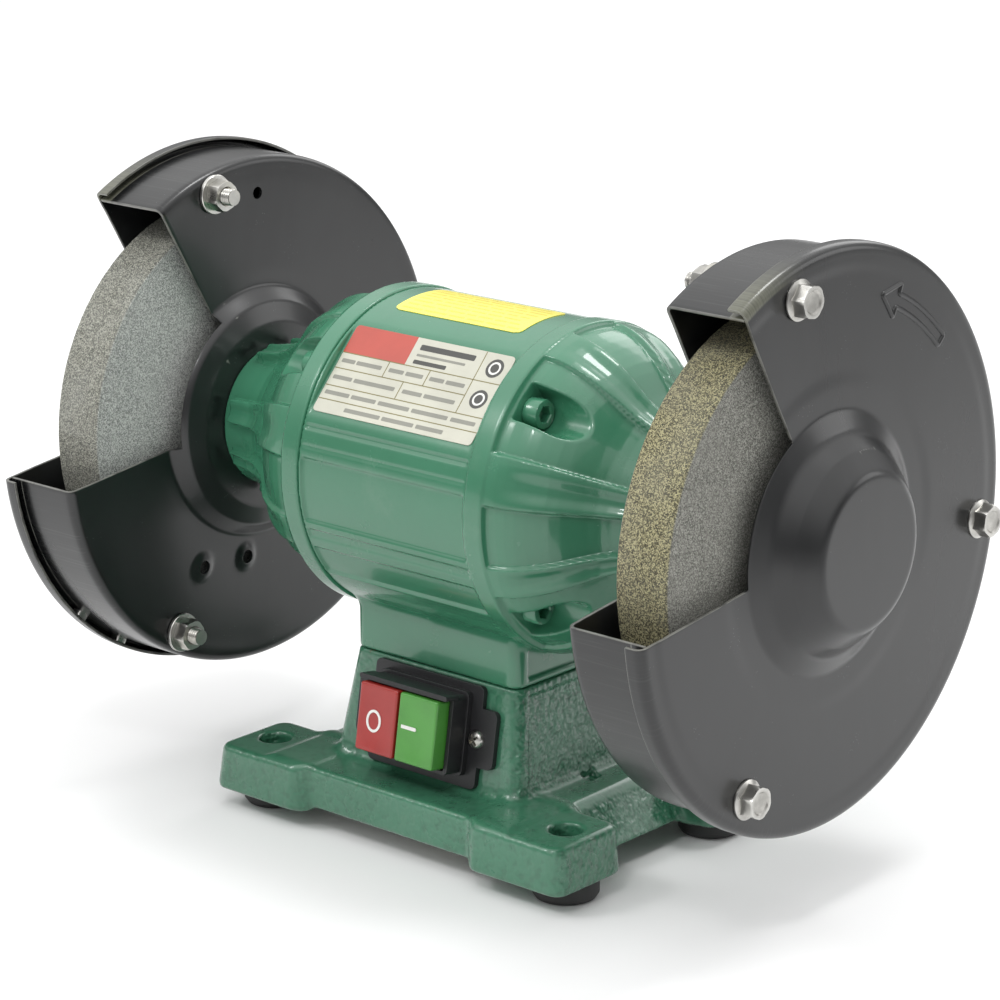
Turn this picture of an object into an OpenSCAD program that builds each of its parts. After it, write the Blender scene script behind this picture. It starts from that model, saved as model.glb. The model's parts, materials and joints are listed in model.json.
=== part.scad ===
// Bench grinder with two wheels, a cast base and a push-button switch.
// X runs along the shaft, the switch faces -Y, and Z = 0 is the bench.

/* [Overall] */
// Height of the shaft centre above the bench
shaft_height = 127; // [125:1:130]
// Distance from the middle of the machine to the middle of each wheel
wheel_offset = 126; // [125:0.5:128]

/* [Wheels] */
// Outside diameter of a wheel
wheel_d = 150; // [140:1:152]
// Width of a wheel
wheel_w = 20; // [18:1:20]
// Bore of a wheel
wheel_bore = 32; // [30:1:34]
// Diameter of the shaft end inside the wheel bush
spindle_d = 12.7; // [12:0.1:13]

/* [Guards] */
// Outside diameter of the guard drum
drum_d = 185.6; // [184:0.2:188]
// Outside diameter of the rolled lip of the cover
cover_d = 192.1; // [191:0.1:196]
// Thickness of the drum sheet
drum_sheet = 1.2; // [1:0.1:1.5]
// Thickness of the cover sheet
cover_sheet = 1.0; // [0.8:0.1:1.2]
// Angle of the upper edge of the mouth, from +Y over the top
mouth_top = 120; // [110:1:130]
// Angle of the lower edge of the mouth
mouth_low = 187; // [180:1:195]
// Radius from the shaft to the guard bolts
guard_bolt_r = 84.8; // [83:0.1:86]

/* [Motor] */
// Outside diameter of the motor housing
motor_d = 111.6; // [111:0.2:113]
// Length of the housing between its two seams
housing_len = 75; // [74:1:76]
// Distance from the middle to the end of each end bell
bell_end = 103.5; // [103:0.1:104]
// Radius from the shaft to the end bell screws
bell_screw_r = 46.8; // [46:0.1:47.5]
// Distance from the shaft to the flat that carries the nameplate
plate_flat = 52.6; // [52:0.1:54]
// Angle of the nameplate flat, from the top towards the front
plate_angle = 47.5; // [45:0.5:50]

/* [Base] */
// Height of the deck and the feet
deck_top = 23; // [22:0.5:25]
// Height of the rubber feet
rubber_h = 6.5; // [5:0.5:8]
// Half the hole spacing of the feet along X
foot_x = 67; // [66:0.5:68]
// Half the hole spacing of the feet along Y
foot_y = 39; // [38:0.5:40]
// Radius of the clearance hole in each rubber foot
foot_bore_r = 3.25; // [3:0.05:4]
// Height of the seam between the pedestal and the motor housing
pedestal_top = 61; // [60:0.5:62]
// Half the length of the pedestal at its top
pedestal_x = 37.2; // [37:0.1:37.4]
// Half the depth of the pedestal at its top
pedestal_y = 29; // [28.5:0.1:29.5]
// Slope of the front and back of the pedestal
face_slope = 9; // [8:0.5:10]
// Slope of the ends of the pedestal
end_slope = 8; // [7:0.5:9]
// Height of the cable gland
gland_z = 47; // [46.5:0.5:47.5]

/* [Switch] */
// Width of one push button
button_w = 17.3; // [16.5:0.1:17.4]
// Height of a push button
button_h = 23.9; // [23:0.1:24]
// Height of a button's face above the sloped front
button_top = 17.3; // [16:0.1:18]
// Middle of the buttons below the top of the pedestal, along the slope
switch_v = -18.2; // [-18.6:0.1:-17.8]

/* [Hidden] */
$fn = 96;
fine = 0.02;
slab = 0.1;

// Colours
casting_green = [0.13, 0.42, 0.27];
guard_black = [0.10, 0.10, 0.11];
steel = [0.75, 0.75, 0.77];
grit_grey = [0.52, 0.50, 0.45];

// Stations along the shaft, on the right-hand side
seam_x = housing_len / 2;
flange_end = seam_x + 7;
pocket_floor = seam_x + 9;
bell_spigot = bell_end - 3.5;
plate_x = 110.9;
cover_face = 142.5;
cover_lip_x = 136.2;
drum_end = cover_face - cover_sheet - 0.2;
dome_end = 158;
wheel_in = wheel_offset - wheel_w / 2;
wheel_out = wheel_offset + wheel_w / 2;
blotter_t = 0.7;
shoulder_x = 110;
outer_flange_end = 141.1;
shaft_end = 152;

// Guard radii
drum_r = drum_d / 2;
cover_r = cover_d / 2;
lip_bend = 3;
arc_in = 42;
arc_out = 43;
boss_r = 36;
boss_base_r = 44;
guard_bolt_angles = [104, 240.5, 353];
tab_angles = [20, 226, 240, 310];

// Bearings, 15 x 35 x 11
bearing_w = 11;
bearing_r = 17.5;
bearing_bore_r = 7.5;
ball_ring_r = 12.5;
ball_r = 2.9;
seat_end = 93;
washer_gap = 1;

// Stator and rotor
core_len = 50;
core_r = 48;
core_flat = 42;
air_gap_r = 29.5;
rotor_r = 29;
slot_count = 24;
rotor_shaft_r = 9;

// Base casting
web_bottom = 8;
deck_x = 54;
deck_y = 53;
wall = 4;
foot_out_x = 78;
foot_out_y = 57;
foot_in_x = 38;
foot_back_y = 23.5;
foot_draft = 2;
foot_corner = 7;
foot_hole_r = 5.5;
housing_bolt_x = 27;
housing_bolt_y = 19;
cover_screw_x = 44;
cover_screw_y = 42;
sheet_z = 8.2;
sheet_t = 1.2;
cap_r = 14;
cap_y = 14.5;
cap_z = sheet_z + sheet_t + 1.1 + cap_r;
gland_pad_y = 25.8;

// Switch, in the frame of the sloped front face
flange_t = 2.2;
hood_depth = 11.5;
spring_floor = -9;
button_under = 3.5;
spring_r = 3;
spring_wire = 0.45;
spring_turns = 5;

// Places what follows on the right or, mirrored, on the left.
module on_side(side) {
    if (side > 0) children();
    else mirror([1, 0, 0]) children();
}

// Turns an outline of [radius, x] points about the shaft axis.
module turned(points) {
    translate([0, 0, shaft_height])
        rotate([0, 90, 0])
            rotate_extrude()
                polygon(points);
}

// Extrudes an outline drawn in Y and Z, seen from the shaft axis, along X.
module across(x0, x1) {
    translate([x0, 0, shaft_height])
        rotate([90, 0, 90])
            linear_extrude(x1 - x0)
                children();
}

// A ring about the shaft axis.
module ring(x0, x1, r_out, r_in) {
    turned([[r_in, x0], [r_out, x0], [r_out, x1], [r_in, x1]]);
}

// A point at a radius and angle in the Y-Z plane.
function polar(r, a) = [r * cos(a), r * sin(a)];

// Points of an arc about [cx, cy].
function arc(cx, cy, r, a0, a1, n = 8) =
    [for (i = [0:n]) [cx, cy] + polar(r, a0 + (a1 - a0) * i / n)];

// A wedge between two angles, out to a radius.
module wedge(a0, a1, r) {
    polygon(concat([[0, 0]], arc(0, 0, r, a0, a1, ceil(abs(a1 - a0) / 30))));
}

// The part of the guard that is open at the front.
module mouth(r_keep) {
    difference() {
        wedge(mouth_top, mouth_low, 150);
        circle(r_keep);
    }
}

module at_guard_bolts() {
    for (a = guard_bolt_angles) {
        translate([0, guard_bolt_r * cos(a), shaft_height + guard_bolt_r * sin(a)])
            rotate([0, 90, 0])
                children();
    }
}

module at_bell_screws() {
    for (a = [45:90:315]) {
        translate([0, bell_screw_r * cos(a), shaft_height + bell_screw_r * sin(a)])
            rotate([0, 90, 0])
                children();
    }
}

module at_guard_screws() {
    for (a = [0:90:270]) {
        translate([0, 20 * cos(a), shaft_height + 20 * sin(a)])
            rotate([0, 90, 0])
                children();
    }
}

module at_feet() {
    for (sx = [-1, 1]) {
        for (sy = [-1, 1]) translate([sx * foot_x, sy * foot_y, 0]) children();
    }
}

// Hexagon prism standing on Z = 0.
module hexagon(across_flats, h) {
    cylinder(h = h, d = across_flats / cos(30), $fn = 6);
}

module box(x0, x1, y0, y1, z0, z1) {
    translate([x0, y0, z0]) cube([x1 - x0, y1 - y0, z1 - z0]);
}

// ---- Base ----

// Tapered block with rounded corners, grown inwards by inset.
module pedestal_block(z0, z1, inset) {
    hull() {
        for (top = [z0 + slab, z1]) {
            half_x = pedestal_x + (pedestal_top - top) * tan(end_slope) - inset;
            half_y = pedestal_y + (pedestal_top - top) * tan(face_slope) - inset;
            for (sx = [-1, 1]) {
                for (sy = [-1, 1]) {
                    translate([sx * (half_x - 4), sy * (half_y - 4), top - slab])
                        cylinder(h = slab, r = 4, $fn = 32);
                }
            }
        }
    }
}

module foot_block() {
    hull() {
        for (level = [[rubber_h, foot_draft], [deck_top - slab, 0]]) {
            out_x = foot_out_x + level[1];
            out_y = foot_out_y + level[1] / 2;
            translate([foot_in_x, foot_back_y, level[0]]) cube([4, 4, slab]);
            translate([foot_in_x, out_y - 4, level[0]]) cube([4, 4, slab]);
            translate([out_x - 4, foot_back_y, level[0]]) cube([4, 4, slab]);
            translate([out_x - foot_corner, out_y - foot_corner, level[0]])
                cylinder(h = slab, r = foot_corner, $fn = 32);
        }
    }
}

// Flared rail along each end of the deck, drawn in X and Z.
module end_rail(points, half_y) {
    translate([0, half_y, 0])
        rotate([90, 0, 0])
            linear_extrude(2 * half_y)
                polygon(points);
}

module deck() {
    box(-deck_x, deck_x, -deck_y, deck_y, web_bottom, deck_top);
    for (sx = [0, 1]) {
        mirror([sx, 0, 0])
            end_rail([[50, deck_top], [56, deck_top], [58, deck_top - 1.5],
                [67.5, web_bottom], [50, web_bottom]], foot_back_y + 1);
    }
    for (sx = [0, 1]) {
        for (sy = [0, 1]) mirror([sx, 0, 0]) mirror([0, sy, 0]) foot_block();
    }
}

module deck_hollow() {
    box(-deck_x + 5, deck_x - 5, -deck_y + 5, deck_y - 5, rubber_h - 1, deck_top - 5);
    for (sx = [0, 1]) {
        mirror([sx, 0, 0])
            end_rail([[48, deck_top - 5], [55, deck_top - 5], [61, web_bottom - 1],
                [48, web_bottom - 1]], foot_back_y - 5);
    }
}

module base_casting() {
    color(casting_green) {
        difference() {
            union() {
                difference() {
                    union() {
                        deck();
                        pedestal_block(deck_top - 1, pedestal_top, 0);
                        translate([0, 0, gland_z])
                            rotate([-90, 0, 0])
                                cylinder(h = pedestal_y + 6, r = 12);
                    }
                    deck_hollow();
                    pedestal_block(deck_top - 6, pedestal_top - 5, wall);
                }
                translate([0, gland_pad_y, gland_z])
                    rotate([-90, 0, 0])
                        cylinder(h = wall, r = 10);
                for (sx = [-1, 1]) {
                    for (sy = [-1, 1]) {
                        translate([sx * cover_screw_x, sy * cover_screw_y, sheet_z + sheet_t])
                            cylinder(h = 10, r = 4.5);
                    }
                }
            }
            at_feet() cylinder(h = 60, r = foot_hole_r);
            translate([0, 0, gland_z]) rotate([-90, 0, 0]) cylinder(h = 60, r = 6.1);
            cylinder(h = 80, r = 10);
            for (sx = [-1, 1]) {
                for (sy = [-1, 1]) {
                    translate([sx * housing_bolt_x, sy * housing_bolt_y, 50])
                        cylinder(h = 20, r = 3.3);
                    translate([sx * cover_screw_x, sy * cover_screw_y, 5])
                        cylinder(h = 12, r = 1.75);
                }
            }
            on_front() box(-18.6, 18.6, switch_v - 13, switch_v + 13, -12, 5);
            on_front() {
                for (sx = [-1, 1]) {
                    translate([sx * 23.2, switch_v - 1, -9]) cylinder(h = 12, r = 1.45);
                }
            }
        }
    }
}

module bottom_plate() {
    color(steel) {
        difference() {
            box(-48.6, 48.6, -47.6, 47.6, sheet_z, sheet_z + sheet_t);
            for (sx = [-1, 1]) {
                for (sy = [-1, 1]) {
                    translate([sx * cover_screw_x, sy * cover_screw_y, 0])
                        cylinder(h = 20, r = 2.2);
                }
            }
            for (x = [-30:10:30]) {
                translate([x, -30, 0]) cylinder(h = 20, r = 2.5);
            }
            for (sx = [-1, 1]) {
                translate([sx * 8, cap_y + 20, 0]) cylinder(h = 20, r = 1.4);
                translate([sx * 8, cap_y - 20, 0]) cylinder(h = 20, r = 1.4);
            }
        }
    }
}

module bottom_plate_screws() {
    color(steel) {
        for (sx = [-1, 1]) {
            for (sy = [-1, 1]) {
                translate([sx * cover_screw_x, sy * cover_screw_y, sheet_z - 2.2]) {
                    difference() {
                        cylinder(h = 2.2, r = 3.6);
                        translate([0, 0, -0.1]) cube([4, 0.9, 2.2], center = true);
                        translate([0, 0, -0.1]) cube([0.9, 4, 2.2], center = true);
                    }
                    cylinder(h = 10, r = 1.7);
                }
            }
        }
    }
}

module rubber_feet() {
    color([0.08, 0.08, 0.08]) {
        at_feet() {
            difference() {
                union() {
                    cylinder(h = 1.5, r1 = 10.3, r2 = 11.3);
                    translate([0, 0, 1.5]) cylinder(h = rubber_h - 1.5, r = 11.3);
                    cylinder(h = 14, r = foot_hole_r - fine);
                }
                translate([0, 0, -1]) cylinder(h = 20, r = foot_bore_r);
            }
        }
    }
}

module cable_gland() {
    color([0.12, 0.12, 0.12]) {
        translate([0, 0, gland_z]) {
            rotate([-90, 0, 0]) {
                difference() {
                    union() {
                        translate([0, 0, 19]) cylinder(h = 20, r = 6);
                        translate([0, 0, pedestal_y + 6]) hexagon(16, 5);
                        translate([0, 0, pedestal_y + 11]) cylinder(h = 3, r = 7.4);
                        translate([0, 0, pedestal_y + 14]) cylinder(h = 5, r1 = 7.4, r2 = 5.6);
                    }
                    cylinder(h = 80, r = 3.6);
                }
            }
        }
    }
}

module gland_nut() {
    color([0.12, 0.12, 0.12]) {
        translate([0, gland_pad_y - 4.1, gland_z]) {
            rotate([-90, 0, 0]) {
                difference() {
                    hexagon(15, 4);
                    translate([0, 0, -1]) cylinder(h = 8, r = 6 + fine);
                }
            }
        }
    }
}

module capacitor() {
    color([0.85, 0.85, 0.82]) {
        translate([-28, cap_y, cap_z]) {
            rotate([0, 90, 0]) {
                cylinder(h = 50, r = cap_r);
                translate([0, 0, 50]) cylinder(h = 2, r = cap_r - 1.5);
                for (sy = [-1, 1]) translate([0, sy * 5, 51]) cylinder(h = 7, r = 1.2);
            }
        }
    }
}

module capacitor_clamp() {
    color(steel) {
        difference() {
            union() {
                translate([-6, cap_y, cap_z]) rotate([0, 90, 0]) cylinder(h = 12, r = cap_r + 1.02);
                box(-6, 6, cap_y - 15, cap_y + 15, sheet_z + sheet_t, sheet_z + sheet_t + 8);
                for (sx = [-1, 1]) {
                    translate([sx * 8, 0, 0]) {
                        box(-4, 4, cap_y - 23.5, cap_y - 13, sheet_z + sheet_t, sheet_z + sheet_t + 1);
                        box(-4, 4, cap_y + 13, cap_y + 23.5, sheet_z + sheet_t, sheet_z + sheet_t + 1);
                    }
                }
                box(-6, 6, cap_y - 23.5, cap_y - 13, sheet_z + sheet_t, sheet_z + sheet_t + 1);
                box(-6, 6, cap_y + 13, cap_y + 23.5, sheet_z + sheet_t, sheet_z + sheet_t + 1);
            }
            translate([-20, cap_y, cap_z]) rotate([0, 90, 0]) cylinder(h = 60, r = cap_r + fine);
            for (sx = [-1, 1]) {
                for (sy = [-1, 1]) {
                    translate([sx * 8, cap_y + sy * 20, 0]) cylinder(h = 20, r = 1.4);
                }
            }
        }
    }
}

module terminal_block() {
    color([0.90, 0.88, 0.80]) {
        difference() {
            union() {
                box(-17, 17, -3, 9, 50, pedestal_top - 5);
                for (x = [-13.5:9:13.5]) box(x - 3.5, x + 3.5, -2, 8, 45, 50.5);
            }
            for (x = [-13.5:9:13.5]) {
                translate([x, 3, 44]) cylinder(h = 4, r = 1.8);
                translate([x, -5, 47.5]) rotate([-90, 0, 0]) cylinder(h = 20, r = 1.2);
            }
            translate([0, 3, 40]) cylinder(h = 30, r = 1.5);
        }
    }
}

module housing_bolts() {
    color(steel) {
        for (sx = [-1, 1]) {
            for (sy = [-1, 1]) {
                translate([sx * housing_bolt_x, sy * housing_bolt_y, pedestal_top - 5]) {
                    cylinder(h = 18, r = 2.95);
                    translate([0, 0, -1.2]) cylinder(h = 1.2, r = 5);
                    translate([0, 0, -5.2]) hexagon(8.4, 4);
                }
            }
        }
    }
}

// ---- Motor ----

// Bore of the housing: a circle with four flats that carry the screw lugs.
module core_outline(gap) {
    intersection() {
        circle(core_r + gap);
        rotate(45) square(2 * (core_flat + gap), center = true);
    }
}

// Flats along the housing: angle from the top towards the front, distance, width.
housing_flats = [
    [plate_angle, plate_flat, 36], [-plate_angle, plate_flat, 36],
    [94.5, 54.6, 22], [-94.5, 54.6, 22], [121, 54.8, 15], [-121, 54.8, 15]
];

module motor_housing() {
    color(casting_green) {
        difference() {
            union() {
                difference() {
                    across(-seam_x, seam_x) circle(motor_d / 2);
                    for (f = housing_flats) {
                        translate([0, 0, shaft_height])
                            rotate([f[0], 0, 0])
                                box(-seam_x + 2, seam_x - 2, -f[2] / 2, f[2] / 2, f[1], 70);
                    }
                }
                difference() {
                    translate([0, 0, pedestal_top])
                        linear_extrude(shaft_height - pedestal_top - 30)
                            housing_skirt(0);
                    for (sx = [-1, 1]) {
                        box(sx > 0 ? pedestal_x - 2 : -80, sx > 0 ? 80 : -pedestal_x + 2,
                            -22, 22, pedestal_top + 2, pedestal_top + 12);
                    }
                }
            }
            across(-80, 80) core_outline(0.05);
            difference() {
                translate([0, 0, pedestal_top - 1])
                    linear_extrude(30)
                        housing_skirt(wall);
                for (sx = [-1, 1]) {
                    for (sy = [-1, 1]) {
                        translate([sx * housing_bolt_x, sy * housing_bolt_y, pedestal_top - 2])
                            cylinder(h = 40, r = 6.5);
                    }
                }
            }
            for (sx = [-1, 1]) {
                for (sy = [-1, 1]) {
                    translate([sx * housing_bolt_x, sy * housing_bolt_y, pedestal_top - 1])
                        cylinder(h = 16, r = 3);
                }
            }
            for (side = [-1, 1]) {
                on_side(side)
                    translate([seam_x - 15, 0, 0])
                        at_bell_screws()
                            cylinder(h = 30, r = 2.5);
            }
        }
    }
}

// Plan of the foot under the motor, with rounded corners.
module housing_skirt(inset) {
    half_x = pedestal_x - inset;
    half_y = pedestal_y - inset;
    for (sx = [-1, 1]) {
        for (sy = [-1, 1]) translate([sx * (half_x - 4), sy * (half_y - 4)]) circle(4);
    }
    square([2 * half_x, 2 * half_y - 8], center = true);
    square([2 * half_x - 8, 2 * half_y], center = true);
}

// Outer surface of an end bell from its flange to its boss, as [radius, x].
bell_curve = [
    [54.6, flange_end], [54.2, 49], [53.0, 53], [51.0, 58], [47.6, 63], [43.5, 68],
    [39.5, 72], [35.5, 76.5], [31.8, 82], [28.5, 88], [26.6, 94], [26.6, bell_spigot]
];
rib_height = 1.6;

module bell_solid(grow) {
    turned(concat([[0, seam_x], [54.6 + grow, seam_x]],
        [for (p = bell_curve) [p[0] + grow, p[1]]], [[0, bell_spigot]]));
}

// Angles of the ribs, repeated four times round the bell.
rib_angles = [[10.5, 16.8], [19.4, 26.7], [63.3, 70.6], [73.2, 79.5]];

module end_bell(side) {
    color(casting_green) {
        on_side(side) {
            difference() {
                union() {
                    bell_solid(0);
                    ring(seam_x, flange_end, 56.4, 30);
                    intersection() {
                        bell_solid(rib_height);
                        across(seam_x, bell_spigot) {
                            for (q = [0:90:270]) {
                                for (a = rib_angles) wedge(q + a[0], q + a[1], 60);
                            }
                        }
                    }
                    ring(bell_spigot - 1, bell_end, 25.5, 12);
                }
                bell_hollow();
                across(pocket_floor, 90) {
                    for (a = [45:90:315]) {
                        rotate(a) {
                            translate([bell_screw_r, 0]) circle(7);
                            translate([bell_screw_r, -7]) square([20, 14]);
                        }
                    }
                }
                translate([seam_x - 1, 0, 0]) at_bell_screws() cylinder(h = 30, r = 3.25);
                ring(seam_x, seat_end, bearing_r + 0.03, 0);
                ring(80, 120, 9, 0);
                translate([bell_end - 10, 0, 0]) at_guard_screws() cylinder(h = 20, r = 2.1);
            }
        }
    }
}

// Inside of the bell, less the metal round each screw.
module bell_hollow() {
    difference() {
        turned([[0, seam_x - 1], [50.5, seam_x - 1], [50.5, 50], [46, 58], [39, 66],
            [31, 74], [24, 80], [0, 80]]);
        translate([seam_x - 5, 0, 0]) at_bell_screws() cylinder(h = 12, r = 5);
        translate([seam_x + 5, 0, 0]) at_bell_screws() cylinder(h = 60, r = 10.5);
        ring(72, 90, 22, 10);
    }
}

module bell_screws(side) {
    color(steel) {
        on_side(side) {
            translate([pocket_floor, 0, 0]) {
                at_bell_screws() {
                    difference() {
                        cylinder(h = 6, r = 5);
                        translate([0, 0, 3]) hexagon(5, 4);
                    }
                    translate([0, 0, -16]) cylinder(h = 16.5, r = 2.45);
                }
            }
        }
    }
}

module stator_core() {
    color([0.45, 0.46, 0.50]) {
        across(-core_len / 2, core_len / 2) {
            difference() {
                core_outline(0);
                circle(air_gap_r);
                for (i = [0:slot_count - 1]) {
                    rotate(i * 360 / slot_count) {
                        translate([31, -1.6]) square([9, 3.2]);
                        translate([25, -0.7]) square([8, 1.4]);
                    }
                }
            }
        }
    }
}

module stator_winding() {
    color([0.72, 0.38, 0.16]) {
        for (side = [-1, 1]) on_side(side) ring(core_len / 2 + 1, 38, 40, 31.3);
        across(-core_len / 2 - 2, core_len / 2 + 2) {
            for (i = [0:slot_count - 1]) {
                rotate(i * 360 / slot_count) translate([31.3, -1.4]) square([8.4, 2.8]);
            }
        }
    }
}

// End of the bearing seat on each side; the wave washer takes its gap on the left.
function bearing_x(side) = seat_end - bearing_w - (side < 0 ? washer_gap : 0);

module ball_groove(x) {
    translate([x + bearing_w / 2, 0, shaft_height])
        rotate([0, 90, 0])
            rotate_extrude()
                translate([ball_ring_r, 0])
                    circle(ball_r + 0.2, $fn = 32);
}

module bearing_outer(side) {
    color(steel) {
        on_side(side) {
            difference() {
                ring(bearing_x(side), bearing_x(side) + bearing_w, bearing_r, 14.3);
                ball_groove(bearing_x(side));
            }
        }
    }
}

module bearing_inner(side) {
    color(steel) {
        on_side(side) {
            difference() {
                ring(bearing_x(side), bearing_x(side) + bearing_w, 10.7, bearing_bore_r);
                ball_groove(bearing_x(side));
            }
        }
    }
}

module bearing_balls(side) {
    color([0.85, 0.85, 0.88]) {
        on_side(side) {
            for (a = [0:45:315]) {
                translate([bearing_x(side) + bearing_w / 2, ball_ring_r * cos(a),
                    shaft_height + ball_ring_r * sin(a)])
                    sphere(r = ball_r, $fn = 32);
            }
        }
    }
}

module wave_washer() {
    color(steel) on_side(-1) ring(seat_end - washer_gap + fine, seat_end - fine, 17, 13.5);
}

// ---- Rotor ----

module shaft() {
    right = bearing_x(1);
    left = -bearing_x(-1);
    r_seat = bearing_bore_r - 0.01;
    r_neck = 7.3;
    r_end = spindle_d / 2;
    color(steel) {
        turned([
            [0, -shaft_end], [r_end - 1, -shaft_end], [r_end, -shaft_end + 1],
            [r_end, -shoulder_x], [r_neck, -shoulder_x], [r_neck, left - bearing_w - 1],
            [r_seat, left - bearing_w - 1], [r_seat, left], [rotor_shaft_r, left],
            [rotor_shaft_r, right], [r_seat, right], [r_seat, right + bearing_w + 1],
            [r_neck, right + bearing_w + 1], [r_neck, shoulder_x], [r_end, shoulder_x],
            [r_end, shaft_end - 1], [r_end - 1, shaft_end], [0, shaft_end]
        ]);
    }
}

module rotor_core() {
    color([0.62, 0.63, 0.66]) {
        ring(-core_len / 2, core_len / 2, rotor_r, rotor_shaft_r + 0.01);
        for (side = [-1, 1]) {
            on_side(side) {
                ring(core_len / 2 - 0.5, core_len / 2 + 5, 27, 19);
                across(core_len / 2 + 4, core_len / 2 + 11) {
                    for (a = [0:45:315]) rotate(a) translate([19.5, -0.9]) square([7, 1.8]);
                }
            }
        }
    }
}

module wheel(side) {
    color(grit_grey) on_side(side) ring(wheel_in, wheel_out, wheel_d / 2, wheel_bore / 2);
}

module wheel_bush(side) {
    color([0.15, 0.15, 0.16]) {
        on_side(side)
            ring(wheel_in + 0.2, wheel_out - 0.2, wheel_bore / 2 - fine, spindle_d / 2 + fine);
    }
}

module blotters(side) {
    color([0.80, 0.72, 0.50]) {
        on_side(side) {
            ring(wheel_in - blotter_t, wheel_in, 26, spindle_d / 2 + 0.3);
            ring(wheel_out, wheel_out + blotter_t, 26, spindle_d / 2 + 0.3);
        }
    }
}

// Pressed flange, hollow on the wheel side so that it bears on its rim.
module inner_flange(side) {
    face = wheel_in - blotter_t;
    color(steel) {
        on_side(side)
            turned([[spindle_d / 2 + fine, shoulder_x], [22, shoulder_x], [25, shoulder_x + 3],
                [25, face], [18, face], [17, face - 1.5], [spindle_d / 2 + fine, face - 1.5]]);
    }
}

module outer_flange(side) {
    face = wheel_out + blotter_t;
    color(steel) {
        on_side(side)
            turned([[spindle_d / 2 + fine, face + 1.5], [17, face + 1.5], [18, face], [25, face],
                [25, face + 2], [22, outer_flange_end], [spindle_d / 2 + fine, outer_flange_end]]);
    }
}

module shaft_nut(side) {
    color(steel) {
        on_side(side) {
            translate([outer_flange_end, 0, shaft_height]) {
                rotate([0, 90, 0]) {
                    difference() {
                        hexagon(19, 8);
                        translate([0, 0, -1]) cylinder(h = 12, r = spindle_d / 2 + fine);
                    }
                }
            }
        }
    }
}

// ---- Guards ----

// Tapped lugs for the tool rest and the hole for the eye shield, as [y, z] from the shaft.
rest_holes = [[-30.2, -52.2], [-8.5, -53.1]];
shield_hole = [0.9, 79.6];
rest_hole_r = 2.5;
rest_lug = 2;

module at_plate(p, x) {
    translate([x, p[0], shaft_height + p[1]]) rotate([0, 90, 0]) children();
}

// Inner plate with its raised boss, and the drum round the wheel.
module guard(side) {
    t = drum_sheet;
    bend = 3;
    color(guard_black) {
        on_side(side) {
            difference() {
                union() {
                    difference() {
                        turned(concat(
                            [[10, bell_end], [boss_r, bell_end], [boss_base_r, plate_x]],
                            arc(drum_r - bend, plate_x + bend, bend, -90, 0, 6),
                            [[drum_r, drum_end], [drum_r - t, drum_end]],
                            arc(drum_r - bend, plate_x + bend, bend - t, 0, -90, 6),
                            [[boss_base_r - 0.6, plate_x + t], [boss_r - 0.6, bell_end + t],
                            [10, bell_end + t]]
                        ));
                        across(plate_x - 20, cover_face + 5) mouth(arc_in);
                    }
                    for (p = rest_holes) at_plate(p, plate_x - rest_lug) cylinder(h = 2.5, r = 4.2);
                    for (a = tab_angles) {
                        translate([0, 0, shaft_height])
                            rotate([a, 0, 0])
                                box(cover_lip_x + 1, cover_lip_x + 4, drum_r - t, cover_r - cover_sheet - 0.3,
                                    -2.5, 2.5);
                    }
                }
                for (p = rest_holes) at_plate(p, plate_x - 10) cylinder(h = 20, r = rest_hole_r);
                at_plate(shield_hole, plate_x - 10) cylinder(h = 20, r = 2.2);
                translate([plate_x - 10, 0, 0]) at_guard_bolts() cylinder(h = 20, r = 3.3);
                translate([bell_end - 10, 0, 0]) at_guard_screws() cylinder(h = 20, r = 2.7);
            }
        }
    }
}

module guard_screws(side) {
    color(steel) {
        on_side(side) {
            translate([bell_end + drum_sheet, 0, 0]) {
                at_guard_screws() {
                    difference() {
                        cylinder(h = 3, r = 4.2);
                        translate([0, 0, 3]) cube([6, 1, 2.4], center = true);
                        translate([0, 0, 3]) cube([1, 6, 2.4], center = true);
                    }
                    translate([0, 0, -10]) cylinder(h = 10.5, r = 2.05);
                }
            }
        }
    }
}

// Cover disc with its dome over the shaft nut and a rolled lip round the rim.
module guard_cover(side) {
    t = cover_sheet;
    b = lip_bend;
    dome_fillet = 4;
    top_r = 29;
    base_r = 41;
    color(guard_black) {
        on_side(side) {
            difference() {
                turned(concat(
                    [[0, dome_end], [0, dome_end - t]],
                    arc(top_r - dome_fillet, dome_end - dome_fillet, dome_fillet - t, 90, 20, 6),
                    [[base_r - 4.5, cover_face + 1], [base_r - 1, cover_face - t]],
                    arc(cover_r - b, cover_face - b, b - t, 90, 0, 6),
                    [[cover_r - t, cover_lip_x], [cover_r, cover_lip_x]],
                    arc(cover_r - b, cover_face - b, b, 0, 90, 6),
                    [[base_r, cover_face], [base_r - 3.5, cover_face + 1.7]],
                    arc(top_r - dome_fillet, dome_end - dome_fillet, dome_fillet, 20, 90, 6)
                ));
                across(cover_lip_x - 5, dome_end + 5) mouth(arc_out);
                translate([cover_face - 10, 0, 0]) at_guard_bolts() cylinder(h = 20, r = 3.3);
            }
        }
    }
}

module guard_bolts(side) {
    color([0.82, 0.82, 0.80]) {
        on_side(side) {
            translate([cover_face, 0, 0]) {
                at_guard_bolts() {
                    cylinder(h = 1.4, r = 6.6);
                    translate([0, 0, 1.3]) hexagon(10, 4.7);
                    translate([0, 0, -42.5]) cylinder(h = 43, r = 2.95);
                }
            }
        }
    }
}

module guard_washers(side) {
    color([0.82, 0.82, 0.80]) {
        on_side(side) {
            translate([plate_x - 1.5, 0, 0]) {
                at_guard_bolts() {
                    difference() {
                        cylinder(h = 1.5, r = 7);
                        translate([0, 0, -1]) cylinder(h = 4, r = 3.2);
                    }
                }
            }
        }
    }
}

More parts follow.
